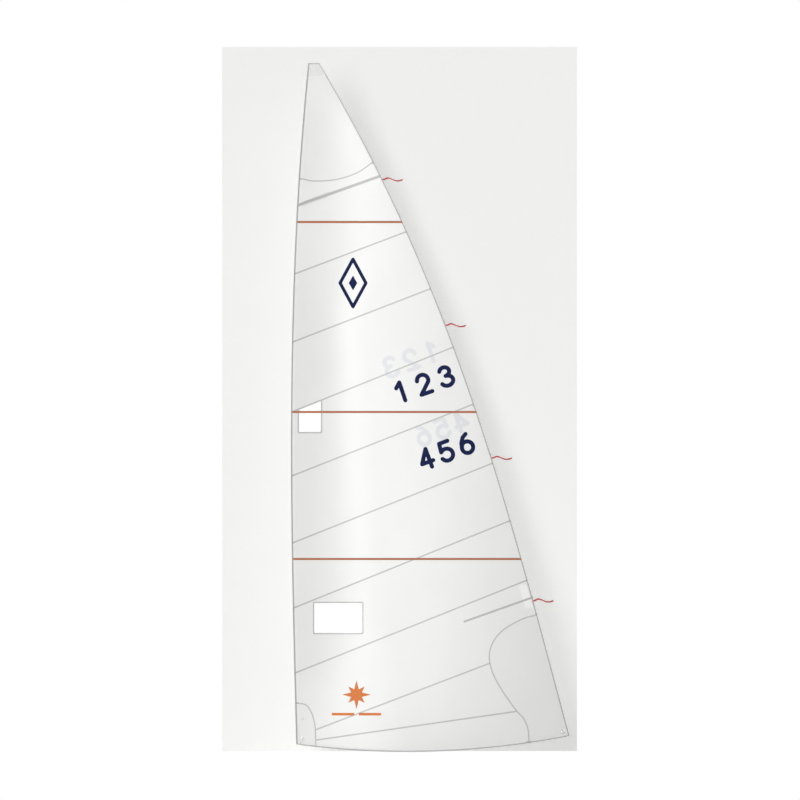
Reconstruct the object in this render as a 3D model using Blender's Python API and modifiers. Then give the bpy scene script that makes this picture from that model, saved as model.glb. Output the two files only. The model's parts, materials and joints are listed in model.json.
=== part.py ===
"""A keelboat's mainsail, hoisted and full of wind from port.

X runs aft, Y to starboard and Z up. The origin is the tack, at the foot of the luff.
The sail is one curved surface. Each cloth piece is a flat outline cut out of a thin ply
of that surface, and the plies lie at set distances to port and to starboard of it.
"""
import math

import bmesh
import bpy
from mathutils import Matrix, Vector
from mathutils.bvhtree import BVHTree

# The outline, in metres: the head's luff corner, the clew, and how far each edge bows out.
HEAD_X, HEAD_Z, HEAD_WIDTH = 0.160, 9.091, 0.1335
DRAWN_HEAD_Z = 9.091
CLEW_X, CLEW_Z = 3.6325, 0.1134
LUFF_ROUND, LUFF_SKEW = 0.150, 0.30
ROACH, ROACH_SKEW = 0.375, 0.37
FOOT_ROUND = 0.148

# The belly: its depth over the chord, where it starts and fades, and the twist's slope.
CAMBER, FOOT_CAMBER, HEAD_CAMBER = 0.105, 0.070, 0.050
FULL_ABOVE, FLATTENS_ABOVE, FLAT_ABOVE = 1.8, 4.8, 8.0
FLAT_FROM = 0.50
ROUND_EXIT_FROM, ROUND_EXIT_TO = 5.7, 7.0
TWIST, TWIST_POWER = 0.36, 1.8
BOARD_HEIGHT = 0.191

# How finely the surface is cut: strips along the chord before and after the flat exit, and rows.
FRONT_STRIPS, AFT_STRIPS = 7, 4
FIRST_ROW_Z, ROWS = 0.30, 19

# Heights are given for the drawn head's height, and follow it.
# Seams between the panels, from the head down: height at the luff and at the leech.
SEAMS = (
    (6.277, 6.843), (5.369, 6.083), (4.436, 5.303), (3.582, 4.543), (2.688, 3.755),
    (1.821, 2.988), (0.954, 2.194), (0.101, 1.362), (0.023, 0.527),
)
LAP = 0.020

# Plies, as distances from the surface along Y, with port negative.
CLOTH = 0.0005
GAP = 0.00035
INNER_PLY = (0.0, CLOTH)
OUTER_PLY = (-GAP - CLOTH, -GAP)
PORT_PATCH = (OUTER_PLY[0] - GAP - CLOTH, OUTER_PLY[0] - GAP)
STARBOARD_PATCH = (CLOTH + GAP, CLOTH + GAP + CLOTH)
FILM = 0.0003
WINDOW_PLY = (CLOTH + GAP, CLOTH + GAP + FILM)
TAPE = 0.0004
TAPE_PORT, TAPE_STARBOARD = -0.0016, 0.0013
STRIPE = 0.0002
PLATE = 0.0020

# Edge tapes, the bolt rope in the luff and the line in the leech.
LUFF_TAPE, LEECH_TAPE, FOOT_TAPE = 0.045, 0.030, 0.030
ROPE_RADIUS, ROPE_CLEARANCE = 0.0042, 0.0007
LINE_RADIUS, LINE_CLEARANCE = 0.0011, 0.0004
ROUND_STEPS = 7

# Corner patches: points of each free edge, as X and Z out from the head, the tack and the clew.
HEAD_PATCH = (
    (-0.26, -1.526), (-0.107, -1.547), (0.040, -1.581), (0.280, -1.574), (0.480, -1.534),
    (0.654, -1.467), (0.760, -1.400), (0.8605, -1.320), (1.04, -1.161),
)
TACK_PATCH = (
    (-0.10, 0.546), (0.053, 0.554), (0.141, 0.522), (0.205, 0.420),
    (0.245, 0.273), (0.2535, 0.193), (0.259, -0.020), (0.259, -0.20),
)
CLEW_PATCH = (
    (-0.240, 1.647), (-0.4345, 1.6206), (-0.5905, 1.5836), (-0.7775, 1.4936), (-0.9155, 1.3966),
    (-1.0215, 1.2636), (-1.0715, 1.1206), (-1.0675, 0.9696), (-1.0135, 0.8006), (-0.9155, 0.6226),
    (-0.8085, 0.4626), (-0.7015, 0.3206), (-0.6135, 0.2226), (-0.5605, 0.0896), (-0.5455, -0.0894),
    (-0.543, -0.313),
)
EDGE_STEPS = 2

# Windows: X from, X to, Z from, Z to. The upper one reaches up to a seam's lap.
LOWER_WINDOW = (0.2295, 0.8700, 1.4874, 1.8876)
UPPER_WINDOW = (0.0267, 0.3202, 4.1690, None)
UPPER_WINDOW_SEAM = 2
WINDOW_HEM = 0.015

# Draft stripes.
STRIPE_HEIGHTS = (6.970, 4.436, 2.475)
STRIPE_WIDTH = 0.028

# The top batten's pocket: how far its inner end is from the luff, and its height at both ends.
TOP_BATTEN = (0.016, 7.188, 7.585)
# The other pockets: height at the leech, length, and degrees up towards the leech.
SHORT_BATTENS = ((5.640, 0.905, 21.1), (3.870, 0.914, 21.8), (1.968, 0.958, 19.5))
BATTEN_WIDTH, BATTEN_THICK = 0.032, 0.0032
CAP_WALL, CAP_SKIN, CAP_LENGTH, CAP_SOCKET = 0.0030, 0.0011, 0.028, 0.018
CAP_WIDTH, CAP_THICK = BATTEN_WIDTH + 2 * CAP_WALL, BATTEN_THICK + 2 * CAP_SKIN
CAP_SLOT_CLEARANCE = 0.0003
BATTEN_STAND_OFF, CAVITY_SPARE, CAVITY_SIDE = 0.0006, 0.0008, 0.0030
CAVITY_WIDTH = CAP_WIDTH + 2 * CAVITY_SIDE
CAVITY_DEPTH = BATTEN_STAND_OFF + CAP_THICK + CAVITY_SPARE
POCKET_WALL, POCKET_HEM = 0.0006, 0.006
POCKET_WIDTH = CAVITY_WIDTH + 2 * POCKET_HEM
POCKET_END = 0.012
POCKET_SHORT_OF_LEECH = 0.002
CAP_INSIDE = 0.020
ARC_STEPS = 20

# Headboard: places are X and Z out from the head's luff corner.
HALYARD_HOLE_RADIUS = 0.008
HALYARD_HOLE = (0.076, -0.041)
RIVETS = ((0.108, -0.045), (0.064, -0.099), (0.064, -0.153), (0.140, -0.123))
RIVET_RADIUS, RIVET_HEAD_RADIUS, RIVET_HEAD = 0.0024, 0.0045, 0.0014
BOARD_LUFF_INSET, BOARD_LEECH_INSET = 0.009, 0.006
BOARD_TOP_INSET, BOARD_FOOT_INSET, BOARD_SLANT = 0.002, 0.010, 0.030
BOARD_CORNER = 0.012

# Pressed rings: X and Z out from the tack or the clew, hole radius, flange radius.
RINGS = {
    "clew": (-0.0875, 0.0616, 0.0150, 0.0310),
    "tack": (0.0760, 0.0775, 0.0110, 0.0230),
    "cunningham": (0.0760, 0.3450, 0.0080, 0.0180),
}
RING_WALL, RING_FLANGE, RING_LIP = 0.0012, 0.0015, 0.0008
RING_CLEARANCE = 2 * GAP
RING_SEGMENTS = 20

# Leech line cleat.
CLEAT_ABOVE_ROW = 0.032
CLEAT_ROW = 3
TAPE_JOINT = 0.001
CLEAT_LENGTH, CLEAT_WIDTH, CLEAT_HEIGHT, CLEAT_GROOVE = 0.034, 0.014, 0.009, 0.006

# Telltales.
TELLTALE_LENGTH, TELLTALE_WIDTH, TELLTALE_THICK = 0.270, 0.024, 0.0004
TELLTALE_BELOW_BATTEN = 0.048
TELLTALE_WAVE, TELLTALE_SIDE_WAVE = 0.022, 0.006
TELLTALE_STEPS = 14
TELLTALE_ROOT, TELLTALE_HINGE = 0.0005, 0.0018

REACH = 1.5
RUN_PAST = 0.10


def clear_scene():
    """Starts from an empty scene."""
    for item in list(bpy.data.objects):
        bpy.data.objects.remove(item, do_unlink=True)


def new_collection(name):
    """A collection linked to the scene."""
    group = bpy.data.collections.new(name)
    bpy.context.scene.collection.children.link(group)
    return group


clear_scene()
sail = new_collection("mainsail")
cutters = new_collection("cutters")


def material(name, color, roughness, metallic=0.0):
    """A plain Principled material."""
    made = bpy.data.materials.new(name)
    made.use_nodes = True
    shader = made.node_tree.nodes["Principled BSDF"]
    shader.inputs["Base Color"].default_value = (*color, 1.0)
    shader.inputs["Roughness"].default_value = roughness
    shader.inputs["Metallic"].default_value = metallic
    return made


SAILCLOTH = material("sailcloth", (0.88, 0.88, 0.86), 0.55)
PATCH_CLOTH = material("patch_cloth", (0.84, 0.84, 0.82), 0.60)
TAPE_CLOTH = material("tape_cloth", (0.86, 0.86, 0.84), 0.60)
CLEAR_FILM = material("clear_film", (0.95, 0.96, 0.96), 0.15)
STRIPE_FILM = material("stripe_film", (0.60, 0.18, 0.07), 0.45)
RIBBON = material("ribbon", (0.75, 0.12, 0.06), 0.50)
ALUMINIUM = material("aluminium", (0.80, 0.81, 0.82), 0.35, 1.0)
STAINLESS = material("stainless", (0.70, 0.71, 0.72), 0.25, 1.0)
FIBREGLASS = material("fibreglass", (0.62, 0.63, 0.60), 0.40)
NYLON = material("nylon", (0.10, 0.10, 0.11), 0.45)
ROPE = material("rope", (0.85, 0.85, 0.80), 0.80)


def smoothstep(value):
    """0 below 0, 1 above 1 and a smooth rise between."""
    held = min(max(value, 0.0), 1.0)
    return held * held * (3 - 2 * held)


def mix(first, second, share):
    return first + (second - first) * share


def bow(share, depth, skew=0.0):
    """How far an edge bows out of its straight line, a share of the way along it."""
    return 4 * depth * share * (1 - share) * (1 + skew * (2 * share - 1))


def level(z):
    """A height given for the drawn head's height, on this sail."""
    return z * HEAD_Z / DRAWN_HEAD_Z


BOARD_Z = HEAD_Z - BOARD_HEIGHT


def luff_x(z):
    """The luff follows a mast that bends forward at the middle."""
    share = z / HEAD_Z
    return HEAD_X * share - bow(share, LUFF_ROUND, LUFF_SKEW)


def leech_x(z):
    share = (z - CLEW_Z) / (HEAD_Z - CLEW_Z)
    return mix(CLEW_X, HEAD_X + HEAD_WIDTH, share) + bow(share, ROACH, ROACH_SKEW)


def foot_z(x):
    share = x / CLEW_X
    return CLEW_Z * share - bow(share, FOOT_ROUND)


def camber(z):
    """The belly's depth as a share of the chord."""
    low = mix(FOOT_CAMBER, CAMBER, smoothstep(z / level(FULL_ABOVE)))
    flattens, flat = level(FLATTENS_ABOVE), level(FLAT_ABOVE)
    high = mix(low, HEAD_CAMBER, smoothstep((z - flattens) / (flat - flattens)))
    return high * (1 - smoothstep((z - flat) / (BOARD_Z - flat)))


def twist(z):
    """The slope by which a section falls off to starboard."""
    return TWIST * min(max(z, 0.0) / BOARD_Z, 1.0) ** TWIST_POWER


def section(share, flat_from):
    """A section 1 deep: a parabola up to flat_from, then straight to the leech."""
    exit_slope = 4 / (2 - flat_from) ** 2
    if share > flat_from:
        return exit_slope * (1 - share)
    return exit_slope * share * ((2 - flat_from) * flat_from - share) / flat_from**2


def on_surface(x, z):
    """The surface's point at x and z."""
    luff = luff_x(z)
    chord = leech_x(z) - luff
    share = (x - luff) / chord
    rounding = (z - level(ROUND_EXIT_FROM)) / level(ROUND_EXIT_TO - ROUND_EXIT_FROM)
    depth = camber(z) * section(share, mix(FLAT_FROM, 1.0, smoothstep(rounding)))
    return Vector((x, chord * (depth + twist(z) * share), z))


def columns(chord, finer=1):
    """Where a row's strips end, as shares of its chord. The outer two are as wide as the tapes."""
    front, aft = FRONT_STRIPS * finer, AFT_STRIPS * finer
    inner = [FLAT_FROM * n / front for n in range(front)]
    inner += [mix(FLAT_FROM, 1.0, n / aft) for n in range(aft + 1)]
    start, end = (LUFF_TAPE + 2 * GAP) / chord, 1 - (LEECH_TAPE + 2 * GAP) / chord
    return [0.0] + [mix(start, end, share) for share in inner] + [1.0]


def level_row(z, finer):
    luff = luff_x(z)
    chord = leech_x(z) - luff
    return [on_surface(luff + share * chord, z) for share in columns(chord, finer)]


def foot_row(raised, finer):
    """A row that follows the foot, raised by a distance."""
    at_luff, at_leech = luff_x(raised), leech_x(CLEW_Z + raised) - CLEW_X
    points = []
    for share in columns(CLEW_X, finer):
        x = share * CLEW_X
        points.append(on_surface(x + mix(at_luff, at_leech, share), foot_z(x) + raised))
    return points


def surface_rows(finer=1):
    """Rows of surface points: the foot, its tape's inner edge, level rows, and the head."""
    count = ROWS * finer
    heights = [mix(FIRST_ROW_Z, BOARD_Z, n / count) for n in range(count + 1)] + [HEAD_Z]
    low = [foot_row(0.0, finer), foot_row(FOOT_TAPE + 2 * GAP, finer)]
    return low + [level_row(z, finer) for z in heights]


GRID = surface_rows()


def surface_cells(rows):
    """A grid bent to the rows of surface points, in triangles."""
    across, up = len(rows[0]) - 1, len(rows) - 1
    cells = bmesh.new()
    bmesh.ops.create_grid(cells, x_segments=across, y_segments=up, size=0.5)
    for vertex in cells.verts:
        column = round((vertex.co.x + 0.5) * across)
        row = round((vertex.co.y + 0.5) * up)
        vertex.co = rows[row][column]
    bmesh.ops.triangulate(cells, faces=cells.faces[:], quad_method="FIXED")
    return cells


def surface_tree(rows):
    """The surface as a tree that rays can be cast at."""
    cells = surface_cells(rows)
    tree = BVHTree.FromBMesh(cells)
    cells.free()
    return tree


FACETED = surface_tree(GRID)
SMOOTH = surface_tree(surface_rows(finer=6))


def surface_y(x, z, tree=FACETED):
    """The surface's Y at a place in the XZ plane, or None beside the sail."""
    hit = tree.ray_cast(Vector((x, -REACH, z)), Vector((0, 1, 0)))[0]
    return hit.y if hit else None


def add_object(name, mesh, look, group=None):
    item = bpy.data.objects.new(name, mesh)
    (group or sail).objects.link(item)
    if look:
        mesh.materials.append(look)
    return item


def mesh_of(shape, name):
    """A mesh made from a bmesh, with its faces turned outward."""
    bmesh.ops.recalc_face_normals(shape, faces=shape.faces[:])
    mesh = bpy.data.meshes.new(name)
    shape.to_mesh(mesh)
    shape.free()
    return mesh


def make_helper(item):
    """Hides a cutter from the render and shows it as wires."""
    item.hide_render = True
    item.display_type = "WIRE"
    return item


def boolean(item, other, operation):
    modifier = item.modifiers.new(operation.lower(), "BOOLEAN")
    modifier.operation = operation
    modifier.solver = "EXACT"
    modifier.object = other


def ply(name, layer, look):
    """The whole sail as a closed ply between two distances from its surface along Y."""
    shape = surface_cells(GRID)
    for vertex in shape.verts:
        vertex.co.y += layer[0]
    made = bmesh.ops.extrude_face_region(shape, geom=shape.faces[:])
    for part in made["geom"]:
        if isinstance(part, bmesh.types.BMVert):
            part.co.y += layer[1] - layer[0]
    return add_object(name, mesh_of(shape, name), look)


def prism(name, outline, reach=REACH):
    """A cutter: an outline in the XZ plane, drawn out to both sides of the sail."""
    curve = bpy.data.curves.new(name, "CURVE")
    curve.dimensions = "2D"
    curve.fill_mode = "BOTH"
    curve.extrude = reach
    spline = curve.splines.new("POLY")
    spline.points.add(len(outline) - 1)
    for point, (x, z) in zip(spline.points, outline):
        point.co = (x, z, 0, 1)
    spline.use_cyclic_u = True
    flat = bpy.data.objects.new(name, curve)
    flat.rotation_euler.x = math.radians(90)
    return make_helper(meshed(flat, name, cutters))


def meshed(source, name, group):
    """The evaluated mesh of a curve object, with its caps welded to its sides."""
    group.objects.link(source)
    bpy.context.view_layer.update()
    evaluated = source.evaluated_get(bpy.context.evaluated_depsgraph_get())
    mesh = bpy.data.meshes.new_from_object(evaluated)
    shape = bmesh.new()
    shape.from_mesh(mesh)
    bmesh.ops.remove_doubles(shape, verts=shape.verts[:], dist=0.00001)
    bmesh.ops.recalc_face_normals(shape, faces=shape.faces[:])
    shape.to_mesh(mesh)
    shape.free()
    place = source.matrix_world.copy()
    curve = source.data
    bpy.data.objects.remove(source)
    bpy.data.curves.remove(curve)
    mesh.name = name
    item = bpy.data.objects.new(name, mesh)
    item.matrix_world = place
    group.objects.link(item)
    return item


def smooth_line(points, steps=EDGE_STEPS):
    """A smooth line through every point but the first and last, which set its ends' slope."""
    line = []
    for before, start, end, after in zip(points, points[1:], points[2:], points[3:]):
        for step in range(steps):
            t = step / steps
            line.append(tuple(
                b + t / 2 * (c - a + t * (2 * a - 5 * b + 4 * c - d + t * (3 * b - a - 3 * c + d)))
                for a, b, c, d in zip(before, start, end, after)
            ))
    return [points[0]] + line + [points[-2], points[-1]]


def loft(name, sections, look, forward=None, folded=False):
    """A closed skin over sections that have as many points each, with flat ends.

    With forward given, each strip of the skin is split in triangles along one diagonal or the
    other. A folded section is a sheet's two sides, listed out and back.
    """
    shape = bmesh.new()
    loops = [[shape.verts.new(point) for point in points] for points in sections]
    for low, high in zip(loops, loops[1:]):
        for n in range(len(low)):
            m = (n + 1) % len(low)
            if forward is None:
                shape.faces.new((low[n], low[m], high[m], high[n]))
            elif forward[n]:
                shape.faces.new((low[n], low[m], high[m]))
                shape.faces.new((low[n], high[m], high[n]))
            else:
                shape.faces.new((low[n], low[m], high[n]))
                shape.faces.new((low[m], high[m], high[n]))
    for end in (loops[0], loops[-1]):
        if folded:
            for n in range(len(end) // 2 - 1):
                shape.faces.new((end[n], end[n + 1], end[-2 - n], end[-1 - n]))
        else:
            shape.faces.new(end)
    return add_object(name, mesh_of(shape, name), look)


# The sail's edges, each with the next line of grid points inside it.
LUFF_EDGE = [(row[0], row[1]) for row in GRID]
LEECH_EDGE = [(row[-1], row[-2]) for row in GRID]
FOOT_EDGE = list(zip(GRID[0], GRID[1]))


def inward(edge_point, inner_point, distance, aside=0.0):
    """A point of the surface, so far in from the edge and so far aside along Y."""
    return edge_point + (inner_point - edge_point).normalized() * distance + Vector((0, aside, 0))


def along_edge(name, edge, outline, look, splits_inward=True, folded=True):
    """A section swept along an edge. Its points are distances inward and aside."""
    sections = [[inward(*pair, a, b) for a, b in outline] for pair in edge]
    after = outline[1:] + outline[:1]
    splits = [(there[0] > here[0]) == splits_inward for here, there in zip(outline, after)]
    return loft(name, sections, look, splits, folded)


def circle(centre, radius, start, end, steps):
    """Points of an arc, from one angle to another in degrees."""
    angles = [math.radians(mix(start, end, n / steps)) for n in range(steps + 1)]
    return [(centre[0] + radius * math.cos(a), centre[1] + radius * math.sin(a)) for a in angles]


TAPE_MIDDLE = (TAPE_PORT + TAPE_STARBOARD) / 2


def bulb_section(width, radius, ahead):
    """A tape folded round a rope: two flat legs and a tube between them, ahead of the edge."""
    sides = []
    for thick in (TAPE, 0.0):
        half = TAPE_STARBOARD - TAPE_MIDDLE + thick
        opening = math.degrees(math.asin(half / (radius + thick)))
        arc = circle((-ahead, TAPE_MIDDLE), radius + thick, 360 - opening, opening, ROUND_STEPS)
        sides.append([(width, TAPE_MIDDLE - half), *arc, (width, TAPE_MIDDLE + half)])
    return sides[0] + sides[1][::-1]


def fold_section(width, ahead):
    """A tape folded over the edge, with a cavity that reaches ahead of the edge."""
    sides = []
    for thick, corner in ((TAPE, 2 * TAPE), (0.0, TAPE)):
        port, starboard, front = TAPE_PORT - thick, TAPE_STARBOARD + thick, -ahead - thick
        low = [(width, port), (front + corner, port), (front, port + corner)]
        high = [(front, starboard - corner), (front + corner, starboard), (width, starboard)]
        sides.append(low + high)
    return sides[0] + sides[1][::-1]


def edge_pieces():
    """The tapes round the sail's edges, the rope in the luff and the line in the leech."""
    bulb_radius = ROPE_RADIUS + ROPE_CLEARANCE
    rope_ahead = ROPE_RADIUS + 2 * ROPE_CLEARANCE
    along_edge("luff_tape", LUFF_EDGE, bulb_section(LUFF_TAPE, bulb_radius, rope_ahead), TAPE_CLOTH)
    rope = circle((-rope_ahead, TAPE_MIDDLE), ROPE_RADIUS, 22.5, 337.5, ROUND_STEPS - 1)
    along_edge("bolt_rope", LUFF_EDGE, rope, ROPE, folded=False)
    line_ahead = LINE_RADIUS + LINE_CLEARANCE
    leech_fold = fold_section(LEECH_TAPE, line_ahead + LINE_RADIUS + LINE_CLEARANCE)
    # The leech tape is in two lengths, which meet below the cleat.
    joint, below = LEECH_EDGE[CLEAT_ROW], LEECH_EDGE[CLEAT_ROW - 1]
    end = tuple(here + (under - here).normalized() * TAPE_JOINT for here, under in zip(joint, below))
    along_edge("leech_tape", LEECH_EDGE[CLEAT_ROW:], leech_fold, TAPE_CLOTH, False)
    lower = LEECH_EDGE[:CLEAT_ROW] + [end]
    along_edge("leech_tape_lower", lower, leech_fold, TAPE_CLOTH, False)
    line = circle((-line_ahead, TAPE_MIDDLE), LINE_RADIUS, 22.5, 337.5, ROUND_STEPS - 1)
    along_edge("leech_line", LEECH_EDGE, line, ROPE, False, False)
    along_edge("foot_tape", FOOT_EDGE[1:-1], fold_section(FOOT_TAPE, 2 * GAP), TAPE_CLOTH)


def inside_tapes():
    """A cutter that keeps what lies between the edge tapes."""
    luff = [inward(*pair, LUFF_TAPE + 3 * GAP) for pair in LUFF_EDGE[2:]]
    leech = [inward(*pair, LEECH_TAPE + 3 * GAP) for pair in LEECH_EDGE[2:]]
    foot = [inward(*pair, FOOT_TAPE + 3 * GAP) for pair in FOOT_EDGE[2:-2]]
    above = Vector((0, 0, RUN_PAST))
    low_luff = GRID[1][1] + Vector((GAP, 0, GAP))
    low_leech = GRID[1][-2] + Vector((-GAP, 0, GAP))
    ring = [low_luff, *luff, luff[-1] + above, leech[-1] + above, *leech[::-1], low_leech, *foot[::-1]]
    return prism("between_tapes", [(point.x, point.z) for point in ring])


def seam_z(seam, x):
    """The height of a seam at x: it runs straight from the luff to the leech."""
    at_luff, at_leech = map(level, seam)
    start, end = luff_x(at_luff), leech_x(at_leech)
    return mix(at_luff, at_leech, (x - start) / (end - start))


def band(low, high):
    """The outline between two lines, each given by its heights at the two ends of the band."""
    start, end = -RUN_PAST * 5, CLEW_X + RUN_PAST * 5
    return [(start, low(start)), (end, low(end)), (end, high(end)), (start, high(start))]


def panels():
    """The panels, from the head down. Every second one lies outside its neighbours' edges."""
    made = []
    edges = [None, *SEAMS, None]
    for n, (above, below) in enumerate(zip(edges, edges[1:])):
        name = f"panel_{n + 1:02d}"
        outline = band(
            lambda x: seam_z(below, x) - LAP / 2 if below else -1.0,
            lambda x: seam_z(above, x) + LAP / 2 if above else HEAD_Z + RUN_PAST,
        )
        piece = ply(name, OUTER_PLY if n % 2 else INNER_PLY, SAILCLOTH)
        boolean(piece, prism(f"{name}_outline", outline), "INTERSECT")
        made.append(piece)
    return made


def free_edge(points, x, z):
    """A patch's free edge, from points given out from a corner."""
    return smooth_line([(x + right, z + up) for right, up in points])


def patches(between):
    """The corner patches, one on each side of the sail at each corner."""
    far = CLEW_X + 0.5
    head = free_edge(HEAD_PATCH, HEAD_X, HEAD_Z) + [(far, HEAD_Z + RUN_PAST), (-0.5, HEAD_Z + RUN_PAST)]
    tack = free_edge(TACK_PATCH, 0.0, 0.0) + [(-0.5, -0.5), (-0.5, 0.5)]
    clew = free_edge(CLEW_PATCH, CLEW_X, CLEW_Z) + [(far, -0.5), (far, CLEW_Z + 1.7)]
    made = {}
    for corner, outline in (("head", head), ("tack", tack), ("clew", clew)):
        keep = prism(f"{corner}_patch_outline", outline)
        for side, layer in (("port", PORT_PATCH), ("starboard", STARBOARD_PATCH)):
            piece = ply(f"{corner}_patch_{side}", layer, PATCH_CLOTH)
            boolean(piece, keep, "INTERSECT")
            boolean(piece, between, "INTERSECT")
            made.setdefault(corner, []).append(piece)
    return made


def window_outline(window, hem=0.0):
    """A window's corners, grown by a hem."""
    left, right, low, high = window
    low, high = level(low), high and level(high)
    if high is None:
        tops = [seam_z(SEAMS[UPPER_WINDOW_SEAM], x) - LAP / 2 for x in (right, left)]
    else:
        tops = [high, high]
    corners = [(left - hem, low - hem), (right + hem, low - hem)]
    return corners + [(right + hem, tops[0] + hem), (left - hem, tops[1] + hem)]


def windows(panel_of):
    """Each window is a hole in its panel, closed by a clear film sewn on from starboard."""
    for name, window in (("upper_window", UPPER_WINDOW), ("lower_window", LOWER_WINDOW)):
        boolean(panel_of[name], prism(f"{name}_hole", window_outline(window)), "DIFFERENCE")
        film = ply(name, WINDOW_PLY, CLEAR_FILM)
        boolean(film, prism(f"{name}_outline", window_outline(window, WINDOW_HEM)), "INTERSECT")


def stripes():
    """Draft stripes: level bands of film stuck on both sides, from tape to tape."""
    port = TAPE_PORT - TAPE - GAP
    starboard = TAPE_STARBOARD + TAPE + GAP
    layers = (("port", (port - STRIPE, port)), ("starboard", (starboard, starboard + STRIPE)))
    for n, height in enumerate(map(level, STRIPE_HEIGHTS)):
        start = luff_x(height) + 2 * TAPE + 2 * GAP
        low, high = height - STRIPE_WIDTH / 2, height + STRIPE_WIDTH / 2
        outline = [(start, low), (CLEW_X, low), (CLEW_X, high), (start, high)]
        keep = prism(f"stripe_{n + 1}_outline", outline)
        for side, layer in layers:
            piece = ply(f"draft_stripe_{n + 1}_{side}", layer, STRIPE_FILM)
            boolean(piece, keep, "INTERSECT")


def seat(x, z, tree=FACETED):
    """A frame on the surface at x and z, with its Z axis square to the surface, to port."""
    reach = 0.004
    places = ((x, z), (x + reach, z), (x, z + reach))
    here, aft, up = (Vector((a, surface_y(a, b, tree), b)) for a, b in places)
    along = (aft - here).normalized()
    outward = along.cross(up - here).normalized()
    if outward.y > 0:
        outward.negate()
    across = outward.cross(along)
    frame = Matrix((along, across, outward)).transposed().to_4x4()
    frame.translation = here
    return frame


def turned(name, profile, frame, look, group=None):
    """A closed profile of radius and height, turned about a frame's Z axis."""
    shape = bmesh.new()
    ring = [shape.verts.new((radius, 0, height)) for radius, height in profile]
    for start, end in zip(ring, ring[1:] + ring[:1]):
        shape.edges.new((start, end))
    mesh = bpy.data.meshes.new(name)
    shape.to_mesh(mesh)
    shape.free()
    item = add_object(name, mesh, look, group)
    screw = item.modifiers.new("turn", "SCREW")
    screw.steps = screw.render_steps = RING_SEGMENTS
    screw.use_merge_vertices = True
    screw.merge_threshold = 0.00001
    item.matrix_world = frame
    return item


def round_cutter(name, frame, radius, half_length=0.03):
    """A cylinder that cuts a hole along a frame's Z axis."""
    shape = bmesh.new()
    bmesh.ops.create_cone(
        shape, cap_ends=True, segments=RING_SEGMENTS, radius1=radius, radius2=radius, depth=2 * half_length
    )
    item = add_object(name, mesh_of(shape, name), None, cutters)
    item.matrix_world = frame
    return make_helper(item)


def rings(cloth_of):
    """Pressed rings through the corner patches: a flanged ring and the washer it is rolled over."""
    for corner, (right, up, hole, flange) in RINGS.items():
        at_clew = right < 0
        frame = seat(CLEW_X * at_clew + right, CLEW_Z * at_clew + up)
        port_face = -PORT_PATCH[0] + RING_CLEARANCE
        starboard_face = -STARBOARD_PATCH[1] - RING_CLEARANCE
        barrel = hole + RING_WALL
        under_washer = starboard_face - RING_FLANGE
        lip_top = under_washer - GAP
        lip = barrel + 2 * RING_WALL
        ring = [
            (hole, port_face + RING_FLANGE), (flange, port_face + RING_FLANGE), (flange, port_face),
            (barrel, port_face), (barrel, lip_top), (lip, lip_top), (lip, lip_top - RING_LIP),
            (hole, lip_top - RING_LIP),
        ]
        washer = [
            (barrel + GAP, starboard_face), (flange, starboard_face),
            (flange, under_washer), (barrel + GAP, under_washer),
        ]
        turned(f"{corner}_ring", ring, frame, STAINLESS)
        turned(f"{corner}_ring_washer", washer, frame, STAINLESS)
        hole_cutter = round_cutter(f"{corner}_hole", frame, barrel + 2 * GAP)
        for piece in cloth_of[corner]:
            boolean(piece, hole_cutter, "DIFFERENCE")


def board_outline():
    """The headboard's rounded outline: it fills the head, and its foot slants down to the luff."""
    top, luff_foot = HEAD_Z - BOARD_TOP_INSET, BOARD_Z + BOARD_FOOT_INSET
    leech_foot = luff_foot + BOARD_SLANT
    corners = [
        Vector((luff_x(luff_foot) + BOARD_LUFF_INSET, luff_foot)),
        Vector((leech_x(leech_foot) - BOARD_LEECH_INSET, leech_foot)),
        Vector((leech_x(top) - BOARD_LEECH_INSET, top)),
        Vector((luff_x(top) + BOARD_LUFF_INSET, top)),
    ]
    outline = []
    for n, corner in enumerate(corners):
        before = (corners[n - 1] - corner).normalized()
        after = (corners[(n + 1) % 4] - corner).normalized()
        start, end = corner + before * BOARD_CORNER, corner + after * BOARD_CORNER
        for step in range(5):
            t = step / 4
            point = start * (1 - t) ** 2 + corner * 2 * t * (1 - t) + end * t**2
            outline.append(tuple(point))
    return outline


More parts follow.
